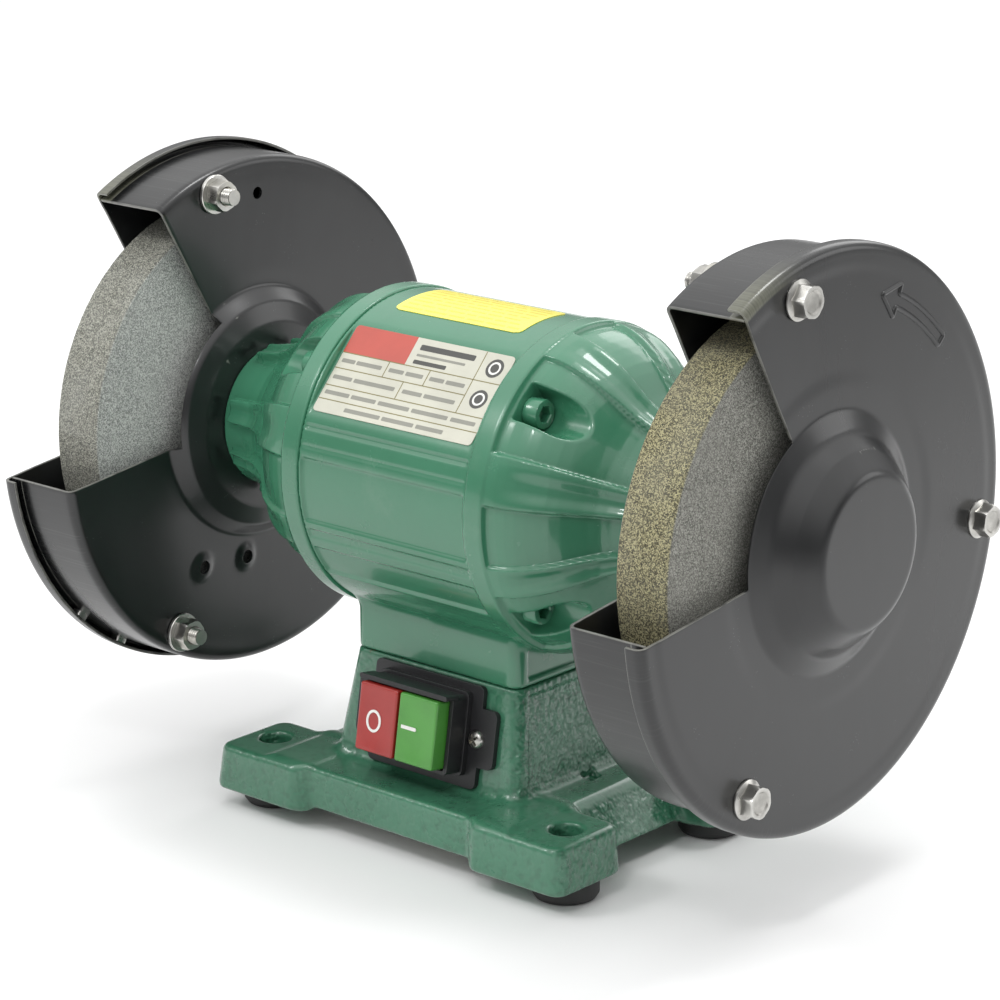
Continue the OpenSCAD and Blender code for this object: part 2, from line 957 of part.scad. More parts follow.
module guard_nuts(side) {
    color([0.82, 0.82, 0.80]) {
        on_side(side) {
            translate([plate_x - 6.5, 0, 0]) {
                at_guard_bolts() {
                    difference() {
                        hexagon(10, 5);
                        translate([0, 0, -1]) cylinder(h = 8, r = 2.97);
                    }
                }
            }
        }
    }
}

// ---- Switch ----

// Frame of the sloped front face: X along the machine, Y up the slope, Z out of it.
module on_front() {
    translate([0, -pedestal_y, pedestal_top]) rotate([90 - face_slope, 0, 0]) children();
}

module switch_plate() {
    v = switch_v;
    color([0.11, 0.11, 0.12]) {
        on_front() {
            difference() {
                union() {
                    box(-24.6, 24.6, v - 18.6, v + 17.2, 0, flange_t);
                    box(-31.5, 31.5, v - 10.4, v + 9.8, 0, flange_t);
                    box(-19.8, 19.8, v - 13.6, v + 13.6, 0, hood_depth);
                    box(-19.8, 19.8, v + 12.3, v + 13.6, 0, hood_depth + 4.5);
                }
                box(-18, 18, v - 12.3, v + 12.3, -1, 40);
                for (sx = [-1, 1]) {
                    translate([sx * 23.2, v - 1, -5]) cylinder(h = 20, r = 1.7);
                    translate([sx * 23.2, v - 1, flange_t]) cylinder(h = 20, r = 3.4);
                }
            }
        }
    }
}

module switch_body() {
    v = switch_v;
    color([0.16, 0.16, 0.17]) {
        on_front() {
            difference() {
                union() {
                    box(-17.9, 17.9, v - 12.2, v + 12.2, -24, 0);
                    for (x = [-13.5:9:13.5]) box(x - 0.4, x + 0.4, v - 4, v + 4, -31, -23.5);
                }
                for (sx = [-1, 1]) {
                    translate([sx * 9.05, v, spring_floor]) cylinder(h = 20, r = 4);
                }
            }
        }
    }
}

module switch_screws() {
    color([0.82, 0.82, 0.80]) {
        on_front() {
            for (sx = [-1, 1]) {
                translate([sx * 23.2, switch_v - 1, flange_t]) {
                    difference() {
                        cylinder(h = 2, r = 2.9);
                        translate([0, 0, 2]) cube([4, 0.8, 1.8], center = true);
                        translate([0, 0, 2]) cube([0.8, 4, 1.8], center = true);
                    }
                    translate([0, 0, -9]) cylinder(h = 9.5, r = 1.4);
                }
            }
        }
    }
}

module push_button(sx) {
    on_front() {
        translate([sx * 9.05, switch_v, 0]) {
            difference() {
                box(-button_w / 2, button_w / 2, -button_h / 2, button_h / 2, button_under, button_top);
                box(-button_w / 2 + 2, button_w / 2 - 2, -button_h / 2 + 2, button_h / 2 - 2,
                    button_under - 1, button_under + 2);
            }
            translate([0, 0, button_under - 8]) cylinder(h = 11, r = 1.75);
        }
    }
}

// Points round the wire at one station along the coil.
function spring_ring(t, length, sides) =
    let (a = 360 * spring_turns * t)
    [for (k = [0:sides - 1])
        let (b = 360 * k / sides, r = spring_r + spring_wire * cos(b))
        [r * cos(a), r * sin(a), t * length + spring_wire * sin(b)]];

module spring(sx) {
    sides = 8;
    steps = 16 * spring_turns;
    length = button_under + 2 - spring_floor - 2 * spring_wire - 0.2;
    points = [for (i = [0:steps]) each spring_ring(i / steps, length, sides)];
    caps = [[for (k = [0:sides - 1]) k], [for (k = [sides - 1:-1:0]) steps * sides + k]];
    walls = [
        for (i = [0:steps - 1]) for (k = [0:sides - 1])
            let (n = (k + 1) % sides)
            [i * sides + k, (i + 1) * sides + k, (i + 1) * sides + n, i * sides + n]
    ];
    color(steel) {
        on_front() {
            translate([sx * 9.05, switch_v, spring_floor + spring_wire + 0.1])
                polyhedron(points = points, faces = concat(caps, walls));
        }
    }
}

// ---- Labels ----

module nameplate() {
    color([0.92, 0.92, 0.90]) {
        translate([0, 0, shaft_height])
            rotate([plate_angle, 0, 0])
                box(-35.5, 35.5, -17, 17, plate_flat + 0.01, plate_flat + 0.4);
    }
}

module blank_label() {
    color([0.95, 0.85, 0.20]) {
        across(-28.5, 28.5) {
            difference() {
                intersection() {
                    circle(motor_d / 2 + 0.25);
                    wedge(73, 102, 70);
                }
                circle(motor_d / 2 + 0.01);
            }
        }
    }
}

base_casting();
bottom_plate();
bottom_plate_screws();
rubber_feet();
cable_gland();
gland_nut();
capacitor();
capacitor_clamp();
terminal_block();
housing_bolts();
motor_housing();
end_bell(-1);  // left_end_bell
end_bell(1);  // right_end_bell
bell_screws(-1);  // left_bell_screws
bell_screws(1);  // right_bell_screws
stator_core();
stator_winding();
bearing_outer(-1);  // left_bearing_outer
bearing_inner(-1);  // left_bearing_inner
bearing_balls(-1);  // left_bearing_balls
bearing_outer(1);  // right_bearing_outer
bearing_inner(1);  // right_bearing_inner
bearing_balls(1);  // right_bearing_balls
wave_washer();
shaft();
rotor_core();
guard(-1);  // left_guard
guard(1);  // right_guard
guard_cover(-1);  // left_guard_cover
guard_cover(1);  // right_guard_cover
guard_bolts(-1);  // left_guard_bolts
guard_bolts(1);  // right_guard_bolts
guard_nuts(-1);  // left_guard_nuts
guard_nuts(1);  // right_guard_nuts
guard_washers(-1);  // left_guard_washers
guard_washers(1);  // right_guard_washers
guard_screws(-1);  // left_guard_screws
guard_screws(1);  // right_guard_screws
wheel(-1);  // left_wheel
wheel(1);  // right_wheel
wheel_bush(-1);  // left_wheel_bush
wheel_bush(1);  // right_wheel_bush
blotters(-1);  // left_blotters
blotters(1);  // right_blotters
inner_flange(-1);  // left_inner_flange
inner_flange(1);  // right_inner_flange
outer_flange(-1);  // left_outer_flange
outer_flange(1);  // right_outer_flange
shaft_nut(-1);  // left_shaft_nut
shaft_nut(1);  // right_shaft_nut
switch_plate();
switch_body();
switch_screws();
color([0.75, 0.15, 0.12]) push_button(-1);  // stop_button
color([0.30, 0.65, 0.25]) push_button(1);  // start_button
spring(-1);  // stop_spring
spring(1);  // start_spring
nameplate();
blank_label();
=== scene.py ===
"""Looks of the bench grinder. Lengths are in millimetres until a mesh is made; X runs along the shaft."""
import functools
import json
import math

import bmesh
import bpy
import numpy as np
from mathutils import Matrix, Vector


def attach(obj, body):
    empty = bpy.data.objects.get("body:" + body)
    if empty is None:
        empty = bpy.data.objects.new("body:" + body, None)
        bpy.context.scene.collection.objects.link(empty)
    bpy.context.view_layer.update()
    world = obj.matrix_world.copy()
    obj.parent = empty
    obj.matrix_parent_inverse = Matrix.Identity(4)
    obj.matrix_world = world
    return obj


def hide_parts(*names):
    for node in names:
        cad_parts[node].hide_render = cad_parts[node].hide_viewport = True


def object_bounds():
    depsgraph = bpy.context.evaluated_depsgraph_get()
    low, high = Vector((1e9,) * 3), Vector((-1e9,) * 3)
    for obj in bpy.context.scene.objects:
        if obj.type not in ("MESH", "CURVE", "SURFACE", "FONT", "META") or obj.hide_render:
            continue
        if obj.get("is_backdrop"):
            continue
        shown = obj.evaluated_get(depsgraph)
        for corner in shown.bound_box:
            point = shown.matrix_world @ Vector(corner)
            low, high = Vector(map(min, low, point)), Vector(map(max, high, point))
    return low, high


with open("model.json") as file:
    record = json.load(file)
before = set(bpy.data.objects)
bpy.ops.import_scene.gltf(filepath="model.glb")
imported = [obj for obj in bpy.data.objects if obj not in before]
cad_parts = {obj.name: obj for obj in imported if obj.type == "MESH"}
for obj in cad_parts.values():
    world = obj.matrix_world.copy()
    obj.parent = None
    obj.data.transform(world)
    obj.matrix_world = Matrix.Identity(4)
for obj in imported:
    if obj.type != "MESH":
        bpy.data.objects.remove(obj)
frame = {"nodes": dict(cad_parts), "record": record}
cad_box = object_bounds()
nodes = frame["nodes"]

# ---- sizes

MM = 0.001
RNG = np.random.default_rng(7)
SIDES = (("left", -1), ("right", 1))
SHAFT_Z = 127.0
# right wheel: its middle, half its width, its radius
WHEEL_X, WHEEL_HALF, WHEEL_R = 126.0, 10.0, 75.0
# pedestal: its top, its half sizes there, the lean of its faces
PED_TOP, PED_X, PED_Y = 61.0, 37.2, 29.0
FRONT_LEAN, END_LEAN = math.radians(9), math.radians(8)
DECK_TOP = 23.0
GLAND_Z = 47.0
# middle of the switch, down the sloped face from the top of the pedestal
SWITCH_V = -18.2
# housing: radius of its drum, tilt of the flat under the rating plate and its distance from the shaft
DRUM_R = 55.75
FLAT_TILT, FLAT_H = math.radians(47.5), 52.6
# end bells: the face against the housing, the four screws
BELL_X = 37.62
SCREW_R, SCREW_ANGLES = 46.8, [math.radians(45 + 90 * k) for k in range(4)]
# guards, about the shaft from +Y towards +Z: mouth, bolts, holes for a tool rest and a shield
MOUTH = (math.radians(120), math.radians(187))
BOLT_R, BOLT_ANGLES = 84.8, (104, 240.5, 353)
REST_HOLES, SHIELD_HOLE = ((-30.2, -52.2), (-8.5, -53.1)), (0.9, 79.6)
# middle of the sheet in the flats of guard and cover, radii of the drum and of the lip
PLATE_X, COVER_X, GUARD_R, LIP_R = 111.5, 142.0, 92.2, 95.5


# ---- pieces

def place(name, data):
    ob = bpy.data.objects.new(name, data)
    bpy.context.scene.collection.objects.link(ob)
    return ob


def make(name, mesh, body, slot, look=None, replaces=(), smooth=32, normals=None):
    """A piece from points in mm and faces, riding on a body. Its look is its slot's, unless one is named."""
    verts, faces = mesh
    me = bpy.data.meshes.new(name)
    me.from_pydata([tuple(v) for v in np.asarray(verts, float) * MM], [], [tuple(f) for f in faces])
    me.update()
    me.shade_smooth()
    if smooth:
        me.set_sharp_from_angle(angle=math.radians(smooth))
    me.materials.append(MAT[look or slot])
    ob = place(name, me)
    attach(ob, body)
    if replaces:
        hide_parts(*replaces)
    if normals is None:
        fix_normals(ob)
    else:
        me.normals_split_custom_set_from_vertices(normals.tolist())
    return ob


def fix_normals(ob):
    bm = bmesh.new()
    bm.from_mesh(ob.data)
    bmesh.ops.recalc_face_normals(bm, faces=bm.faces)
    bm.to_mesh(ob.data)
    bm.free()


def bevelled(ob, width, segments=2, angle=30):
    m = ob.modifiers.new("edge", "BEVEL")
    m.width = width * MM
    m.segments = segments
    m.limit_method = "ANGLE"
    m.angle_limit = math.radians(angle)


def subtract(ob, tools, use_self=False):
    """Cuts closed bodies out of a piece, and applies its modifiers."""
    verts, faces = join(tools)
    me = bpy.data.meshes.new("tool")
    me.from_pydata([tuple(p) for p in verts * MM], [], faces)
    tool = place("tool", me)
    fix_normals(tool)
    b = ob.modifiers.new("cut", "BOOLEAN")
    b.object = tool
    b.operation = "DIFFERENCE"
    b.solver = "EXACT"
    b.use_self = use_self
    materials = list(ob.data.materials)
    graph = bpy.context.evaluated_depsgraph_get()
    shape = bpy.data.meshes.new_from_object(ob.evaluated_get(graph))
    ob.modifiers.clear()
    ob.data = shape
    if not shape.materials:
        for material in materials:
            shape.materials.append(material)
    shape.set_sharp_from_angle(angle=math.radians(35))
    bpy.data.objects.remove(tool)


# ---- meshes, each as points and faces

def mirrored(mesh, side):
    """The mesh for the right end, or its mirror image for the left."""
    if side > 0:
        return mesh
    verts, faces = mesh
    return np.asarray(verts) * (-1, 1, 1), [tuple(reversed(f)) for f in faces]


def join(meshes):
    verts, faces, n = [], [], 0
    for v, f in meshes:
        verts.append(np.asarray(v, float))
        faces += [tuple(i + n for i in g) for g in f]
        n += len(v)
    return np.concatenate(verts), faces


def quads(rows, columns, close_rows=False, close_columns=False):
    """Faces over a grid of points that are stored row by row."""
    faces = []
    for i in range(rows if close_rows else rows - 1):
        for k in range(columns if close_columns else columns - 1):
            j, m = (i + 1) % rows, (k + 1) % columns
            faces.append((i * columns + k, i * columns + m, j * columns + m, j * columns + k))
    return faces


def turned(rings, steps=48, closed=False):
    """Rings of (radius, height) about Z, closed into a loop or with flat ends. A radius may be an array."""
    a = np.arange(steps) * 2 * math.pi / steps
    verts = np.concatenate([np.c_[r * np.cos(a), r * np.sin(a), np.full(steps, z)] for r, z in rings])
    n = len(rings)
    faces = quads(n, steps, closed, True)
    if not closed:
        faces += [tuple(reversed(range(steps))), tuple((n - 1) * steps + i for i in range(steps))]
    return verts, faces


def along_x(mesh, x, y, z, spin=0.0, way=1):
    """Puts a body drawn about Z onto an axis along X, running towards +X or, with way -1, towards -X."""
    v, faces = mesh
    c, s = math.cos(spin), math.sin(spin)
    verts = np.c_[x + way * v[:, 2], y + v[:, 0] * c - v[:, 1] * s, z + v[:, 0] * s + v[:, 1] * c]
    return verts, faces if way > 0 else [tuple(reversed(f)) for f in faces]


def arc(u, v, r, start, end, n):
    """n + 1 points along an arc between two angles in degrees."""
    a = np.radians(np.linspace(start, end, n + 1))
    return list(zip(u + r * np.cos(a), v + r * np.sin(a)))


def disc(r, n=48, at=(0, 0)):
    return arc(*at, r, 0, 360, n)[:-1]


def round_rect(u0, u1, v0, v1, r, n=6):
    corners = ((u1 - r, v1 - r, 0), (u0 + r, v1 - r, 90), (u0 + r, v0 + r, 180), (u1 - r, v0 + r, 270))
    return [p for u, v, start in corners for p in arc(u, v, r, start, start + 90, n)]


def slab(outline, w0, w1):
    """A prism over an outline in its own plane."""
    n = len(outline)
    verts = np.array([(u, v, w) for w in (w0, w1) for u, v in outline])
    return verts, [tuple(reversed(range(n))), tuple(range(n, 2 * n))] + quads(2, n, False, True)


def frame_ring(outer, inner, w0, w1):
    """A prism with a hole: two outlines with the same number of points."""
    n = len(outer)
    corners = ((outer, w0), (outer, w1), (inner, w1), (inner, w0))
    return np.concatenate([np.c_[outline, np.full(n, w)] for outline, w in corners]), quads(4, n, True, True)


def two_layers(us, vs, at):
    """A closed body over a grid of u and v; at(layer, u, v) gives its points on layers 0 and 1."""
    rows, columns = len(vs), len(us)
    size = rows * columns
    verts = np.array([at(layer, u, v) for layer in (0, 1) for v in vs for u in us])
    lower = quads(rows, columns)
    faces = [f[::-1] for f in lower] + [tuple(i + size for i in f) for f in lower]
    rim = [*range(columns), *range(2 * columns - 1, size, columns),
           *range(size - 2, size - columns - 1, -1), *range(size - 2 * columns, 0, -columns)]
    return verts, faces + [(a, b, b + size, a + size) for a, b in zip(rim, rim[1:] + rim[:1])]


def fillet(points, radii, n=6):
    """Rounds the corners of an open (radius, x) line."""
    out = [np.array(points[0], float)]
    for i in range(1, len(points) - 1):
        p, a, b = (np.array(points[j], float) for j in (i, i - 1, i + 1))
        u, w = a - p, b - p
        lu, lw = np.linalg.norm(u), np.linalg.norm(w)
        u, w = u / lu, w / lw
        half = math.acos(np.clip(u @ w, -1, 1)) / 2
        t = min(radii[i] / math.tan(half), lu * 0.49, lw * 0.49)
        for s in np.linspace(0, 1, n + 1):
            out.append((1 - s) ** 2 * (p + u * t) + 2 * s * (1 - s) * p + s * s * (p + w * t))
    out.append(np.array(points[-1], float))
    return np.array(out)


def refine(line, pitch):
    """Splits the long stretches of a line."""
    out = [line[0]]
    for a, b in zip(line[:-1], line[1:]):
        n = max(1, int(np.linalg.norm(b - a) / pitch))
        out += [a + (b - a) * (k + 1) / n for k in range(n)]
    return np.array(out)


# ---- solids as distance fields, negative inside

def smin(a, b, k):
    """The union of two solids, blended over k."""
    h = np.maximum(k - np.abs(a - b), 0) / k
    return np.minimum(a, b) - h * h * k / 4


def smax(a, b, k):
    """What two solids share, with an edge rounded over k."""
    return -smin(-a, -b, k)


def meet(*solids):
    return functools.reduce(np.maximum, solids)


def carve(body, k, *walls):
    """Takes what all the walls share out of a body, with an edge rounded over k, or sharp at 0."""
    return smax(body, -meet(*walls), k) if k else np.maximum(body, -meet(*walls))


def within(t, middle, half):
    return np.abs(t - middle) - half


def plan_box(x, y, hx, hy, r):
    """Distance to a rounded rectangle in the X-Y plane."""
    qx, qy = np.abs(x) - hx + r, np.abs(y) - hy + r
    return np.hypot(np.maximum(qx, 0), np.maximum(qy, 0)) + np.minimum(np.maximum(qx, qy), 0) - r


def step(x, a, b):
    t = np.clip((x - a) / (b - a), 0, 1)
    return t * t * (3 - 2 * t)


def grid(lo, hi, pitch):
    axes = [np.arange(a, b + pitch, pitch, dtype=np.float32) for a, b in zip(lo, hi)]
    return np.meshgrid(*axes, indexing="ij", sparse=True)


def sample(f, p):
    """The field at points between its samples, by straight-line blending."""
    i = np.clip(np.floor(p).astype(int), 0, np.array(f.shape) - 2)
    t = np.clip(p - i, 0, 1)
    total = 0
    for corner in np.ndindex(2, 2, 2):
        weight = np.prod(np.where(corner, t, 1 - t), axis=1)
        total = total + weight * f[tuple((i + corner).T)]
    return total


def gradient(f, p):
    reach = 0.55
    return np.stack([(sample(f, p + d) - sample(f, p - d)) / (2 * reach) for d in np.eye(3) * reach], 1)


def surface(f, lo, pitch):
    """The zero level of a sampled field: a mesh with one point in each cell it crosses, and normals."""
    f = np.ascontiguousarray(f, np.float32)
    inside = f < 0
    shape = np.array(f.shape) - 1
    size = int(shape.prod())
    sums, count = np.zeros((3, size)), np.zeros(size)
    stride = np.array([shape[1] * shape[2], shape[2], 1])
    faces = []
    for axis in range(3):
        a, b = [slice(None)] * 3, [slice(None)] * 3
        a[axis], b[axis] = slice(0, -1), slice(1, None)
        a, b = tuple(a), tuple(b)
        cross = inside[a] != inside[b]
        idx = np.argwhere(cross)
        fa, fb = f[a][cross], f[b][cross]
        p = idx.astype(float)
        p[:, axis] += fa / (fa - fb)
        across = [k for k in range(3) if k != axis]
        cells = []
        for shift in ((0, 0), (-1, 0), (-1, -1), (0, -1)):
            c = idx.copy()
            c[:, across] += shift
            cells.append((c * stride).sum(1))
            ok = ((c >= 0) & (c < shape)).all(1)
            flat = cells[-1][ok]
            count += np.bincount(flat, minlength=size)
            for k in range(3):
                sums[k] += np.bincount(flat, p[ok, k], minlength=size)
        inner = ((idx[:, across] > 0) & (idx[:, across] < shape[across])).all(1)
        face = np.stack(cells, 1)[inner]
        flip = inside[a][cross][inner] == (axis == 1)
        face[flip] = face[flip][:, ::-1]
        faces.append(face)
    used = np.flatnonzero(count)
    index = np.full(size, -1)
    index[used] = np.arange(len(used))
    verts = (sums[:, used] / count[used]).T
    for _ in range(3):
        slope = gradient(f, verts)
        move = sample(f, verts)[:, None] * slope / np.maximum((slope ** 2).sum(1), 1e-9)[:, None]
        verts = verts - np.clip(move, -0.4, 0.4)
    slope = gradient(f, verts)
    normals = slope / np.maximum(np.linalg.norm(slope, axis=1), 1e-9)[:, None]
    return (verts * pitch + np.asarray(lo, float), index[np.concatenate(faces)].tolist()), normals


# ---- materials

class Paint:
    """A node material under construction."""

    def __init__(self, name, **sockets):
        self.mat = bpy.data.materials.new(name)
        self.mat.use_nodes = True
        self.t = self.mat.node_tree
        self.p = self.t.nodes["Principled BSDF"]
        self.coord = self.t.nodes.new("ShaderNodeTexCoord").outputs["Object"]
        for key, value in sockets.items():
            self.p.inputs[key.replace("_", " ")].default_value = value

    def put(self, socket, value):
        if isinstance(value, (int, float)):
            socket.default_value = value
        elif isinstance(value, (tuple, list)):
            socket.default_value = (*value, 1.0) if len(value) == 3 and socket.type == "RGBA" else value
        else:
            self.t.links.new(value, socket)

    def node(self, kind, out=0, props=None, **inputs):
        """The output of a new node; an input is given by its name, or by its number as i0, i1 and so on."""
        n = self.t.nodes.new("ShaderNode" + kind)
        for k, v in (props or {}).items():
            setattr(n, k, v)
        for k, v in inputs.items():
            self.put(n.inputs[int(k[1:])] if k[0] == "i" and k[1:].isdigit() else n.inputs[k], v)
        return n.outputs[out]

    def noise(self, scale, detail=3.0, rough=0.55, coord=None, distortion=0.0):
        return self.node("TexNoise", 0, {"noise_type": "FBM"}, Vector=coord or self.coord, Scale=scale,
                         Detail=detail, Roughness=rough, Distortion=distortion)

    def voronoi(self, scale, out="Distance"):
        return self.node("TexVoronoi", out, None, Vector=self.coord, Scale=scale)

    def stretch(self, x, y, z):
        return self.node("Mapping", 0, None, Vector=self.coord, Scale=(x, y, z))

    def axis(self, number, vector=None):
        return self.node("SeparateXYZ", number, None, Vector=vector or self.coord)

    def math(self, op, a, b=0.0, c=0.0):
        return self.node("Math", 0, {"operation": op}, i0=a, i1=b, i2=c)

    def mul(self, *values):
        return functools.reduce(lambda a, b: self.math("MULTIPLY", a, b), values)

    def band(self, value, low, high, to_low=0.0, to_high=1.0):
        return self.node("MapRange", 0, {"interpolation_type": "SMOOTHSTEP"}, i0=value, i1=low, i2=high,
                         i3=to_low, i4=to_high)

    def mix(self, fac, a, b):
        return self.node("Mix", 2, {"data_type": "RGBA"}, i0=fac, i6=a, i7=b)

    def over(self, base, color, *masks):
        """A colour laid over another one where all the masks are."""
        return self.mix(self.mul(*masks), base, color)

    def edges(self, low=0.52, high=0.60):
        return self.band(self.node("NewGeometry", "Pointiness"), low, high)

    def color(self, value):
        self.put(self.p.inputs["Base Color"], value)

    def rough(self, pattern, spread, least):
        self.put(self.p.inputs["Roughness"], self.math("MULTIPLY_ADD", pattern, spread, least))

    def bump(self, *layers):
        """Each layer is a height, its strength and its depth in mm. Returns the finished material."""
        normal = None
        for height, strength, depth in layers:
            n = self.t.nodes.new("ShaderNodeBump")
            self.put(n.inputs["Height"], height)
            n.inputs["Strength"].default_value = strength
            n.inputs["Distance"].default_value = depth * MM
            if normal is not None:
                self.t.links.new(normal, n.inputs["Normal"])
            normal = n.outputs[0]
        self.t.links.new(normal, self.p.inputs["Normal"])
        return self.mat


def srgb(*levels):
    return tuple(c / 255 / 12.92 if c <= 10 else ((c / 255 + 0.055) / 1.055) ** 2.4 for c in levels)


def scaled(color, factor, lift=0.0):
    return tuple(min(1, c * factor + lift) for c in color)


def enamel(name, light, deep, cast, gloss=0.2):
    """Glossy paint over a casting; cast says how lumpy the metal under it is."""
    m = Paint(name, Metallic=0.0, Coat_Weight=0.6, Coat_Roughness=0.06 + 0.1 * cast, IOR=1.5)
    base = m.mix(m.band(m.noise(11.0, 3.0), 0.35, 0.68), deep, light)
    # the hammered look is strongest on the ends and faint on top
    normal = m.node("NewGeometry", "Normal")
    ends = m.band(m.math("ABSOLUTE", m.axis(0, normal)), 0.40, 0.85, 0.22, 1.0)
    upright = m.band(m.axis(2, normal), 0.55, 0.9, 1.0, 0.10)
    lump = m.noise(370.0, 1.0, 0.5)
    # painted shade: the low spots of the lump pattern, the hollows of the hammered bump, are painted darker
    base = m.over(base, scaled(deep, 0.45), m.band(lump, 0.48, 0.3), 0.35 * cast)
    # painted shade: small dark specks stand for the shaded pits of the casting
    speck = m.band(m.voronoi(420.0), 0.05, 0.12, 1.0, 0.0)
    base = m.over(base, srgb(30, 58, 46), speck, m.band(m.noise(160.0, 1.0), 0.62, 0.68), 0.4)
    base = m.over(base, scaled(light, 1.5, 0.03), m.edges(), 0.30)
    chip = m.band(m.noise(260.0, 3.0, 0.6), 0.66, 0.69)
    base = m.over(base, srgb(96, 60, 40), chip, m.edges(0.50, 0.54), 0.8 * cast)
    dust = m.band(m.noise(34.0, 5.0, 0.7), 0.52, 0.78)
    m.color(m.over(base, srgb(150, 165, 150), dust, 0.10))
    m.rough(m.noise(60.0, 4.0, 0.6), 0.12, gloss)
    return m.bump((m.noise(55.0, 2.0), 0.22, 0.35 + 0.4 * cast),
                  (m.mul(lump, ends, upright), min(1.0, 1.4 * cast), 2.6 * cast + 0.02),
                  (m.noise(1500.0, 2.0), 0.05 + 0.15 * cast, 0.04))


def black_sheet(name):
    """Semi-gloss black enamel on pressed sheet: faint smears, marks of rolling on the drum, worn edges."""
    m = Paint(name, Metallic=0.0, Coat_Weight=0.30, Coat_Roughness=0.15, IOR=1.5)
    smear = m.noise(20.0, 4.0, 0.6, coord=m.stretch(1, 1, 0.30), distortion=0.9)
    base = m.mix(m.band(smear, 0.3, 0.75), srgb(14, 15, 16), srgb(27, 28, 29))
    fleck = m.band(m.voronoi(900.0), 0.10, 0.16, 1.0, 0.0)
    base = m.over(base, srgb(120, 122, 122), fleck, m.band(m.noise(90.0, 1.0), 0.62, 0.68), 0.5)
    x, y, z = m.axis(0), m.axis(1), m.math("SUBTRACT", m.axis(2), SHAFT_Z * MM)
    out, turn = m.math("ABSOLUTE", x), m.math("ARCTAN2", z, y)
    rolled = m.noise(1.0, 3.0, 0.7, coord=m.node("CombineXYZ", X=m.mul(turn, 95.0), Y=m.mul(x, 14.0)))
    radius = m.math("SQRT", m.math("ADD", m.mul(y, y), m.mul(z, z)))
    drum = m.band(radius, (GUARD_R - 0.7) * MM, (GUARD_R + 0.3) * MM)
    base = m.over(base, srgb(105, 106, 104), m.band(rolled, 0.52, 0.72), drum, 0.16)
    # the paint is thin and greyish on the lip next to the mouth
    bare = m.mul(m.band(out, 0.1355, 0.1365), m.band(turn, 1.72, 2.07), m.band(turn, 2.15, 2.11))
    base = m.over(base, srgb(104, 105, 90), drum, bare, m.band(rolled, 0.35, 0.6, 0.55, 0.9))
    # bare metal shows along the cut edges of the sheet, and along the lip of the cover
    worn = m.edges(0.56, 0.66)
    for edge in MOUTH:
        c, s = math.cos(edge), math.sin(edge)
        off = m.math("ABSOLUTE", m.math("SUBTRACT", m.mul(y, s), m.mul(z, c)))
        along = m.math("ADD", m.mul(y, c), m.mul(z, s))
        worn = m.math("MAXIMUM", worn, m.mul(m.band(off, 0.00035, 0.00010), m.band(along, 0.0438, 0.0450)))
    lip = m.band(m.math("ABSOLUTE", m.math("SUBTRACT", out, 0.1362)), 0.0004, 0.0001)
    worn = m.math("MAXIMUM", worn, m.mul(drum, lip))
    m.color(m.over(base, srgb(128, 128, 122), worn, m.band(m.noise(120.0, 3.0, 0.6), 0.30, 0.60, 0.15, 0.65)))
    m.rough(smear, 0.20, 0.20)
    return m.bump((m.noise(26.0, 2.0), 0.22, 0.5), (m.mul(rolled, drum), 0.30, 0.08),
                  (m.noise(1300.0, 2.0), 0.12, 0.03))


def zinc(name, tint=(0.50, 0.49, 0.46), rough=0.26):
    """Plated steel with dull and yellowish patches."""
    m = Paint(name, Metallic=1.0)
    patch = m.noise(160.0, 4.0, 0.65)
    base = m.mix(m.band(patch, 0.35, 0.7), tint, scaled(tint, 0.72))
    warm = m.band(m.noise(60.0, 2.0), 0.5, 0.75)
    base = m.over(base, (tint[0] * 1.02, tint[1] * 0.95, tint[2] * 0.72), warm, 0.35)
    m.color(m.over(base, (0.85, 0.85, 0.82), m.edges(), 0.4))
    m.rough(patch, 0.25, rough - 0.08)
    return m.bump((m.noise(500.0, 3.0), 0.25, 0.05), (m.noise(2500.0, 1.0), 0.1, 0.02))


def turned_steel(name, tint=(0.50, 0.50, 0.52)):
    """Steel with fine turning marks round the shaft."""
    m = Paint(name, Metallic=1.0)
    rings = m.noise(900.0, 2.0, coord=m.stretch(1, 0.05, 0.05))
    m.color(m.mix(m.band(m.noise(40.0, 3.0), 0.35, 0.7), tint, scaled(tint, 0.75)))
    m.rough(rings, 0.2, 0.22)
    return m.bump((rings, 0.35, 0.04))


def grit(name, light, dark, rim_light, rim_dark):
    """Bonded abrasive: packed grains with painted shade in the pores, coarser and yellower on the dressed
    rim.
    """
    m = Paint(name, Metallic=0.0, IOR=1.45)
    grain = m.voronoi(2900.0, "Color")
    tone, second = m.axis(0, grain), m.axis(1, grain)
    yz = m.node("Mapping", 0, None, Vector=m.coord, Location=(0, 0, -SHAFT_Z * MM), Scale=(0.0, 1.0, 1.0))
    radius = m.node("VectorMath", 1, {"operation": "LENGTH"}, i0=yz)
    rim = m.band(radius, (WHEEL_R - 0.8) * MM, (WHEEL_R - 0.3) * MM)
    base = m.mix(m.band(tone, 0.0, 1.0), m.mix(rim, dark, rim_dark), m.mix(rim, light, rim_light))
    # painted shade in the pores, stronger on the rim
    pore_shade = m.band(second, 0.79, 0.83)
    base = m.over(base, scaled(dark, 0.25), pore_shade, m.math("MULTIPLY_ADD", rim, 0.35, 0.45))
    cloud = m.band(m.noise(45.0, 3.0), 0.3, 0.75)
    m.color(m.over(base, scaled(light, 0.75), cloud, 0.22))
    m.rough(tone, 0.15, 0.80)
    return m.bump((m.voronoi(2900.0), 0.8, 0.20), (m.noise(1000.0, 3.0, 0.7), 0.5, 0.22))


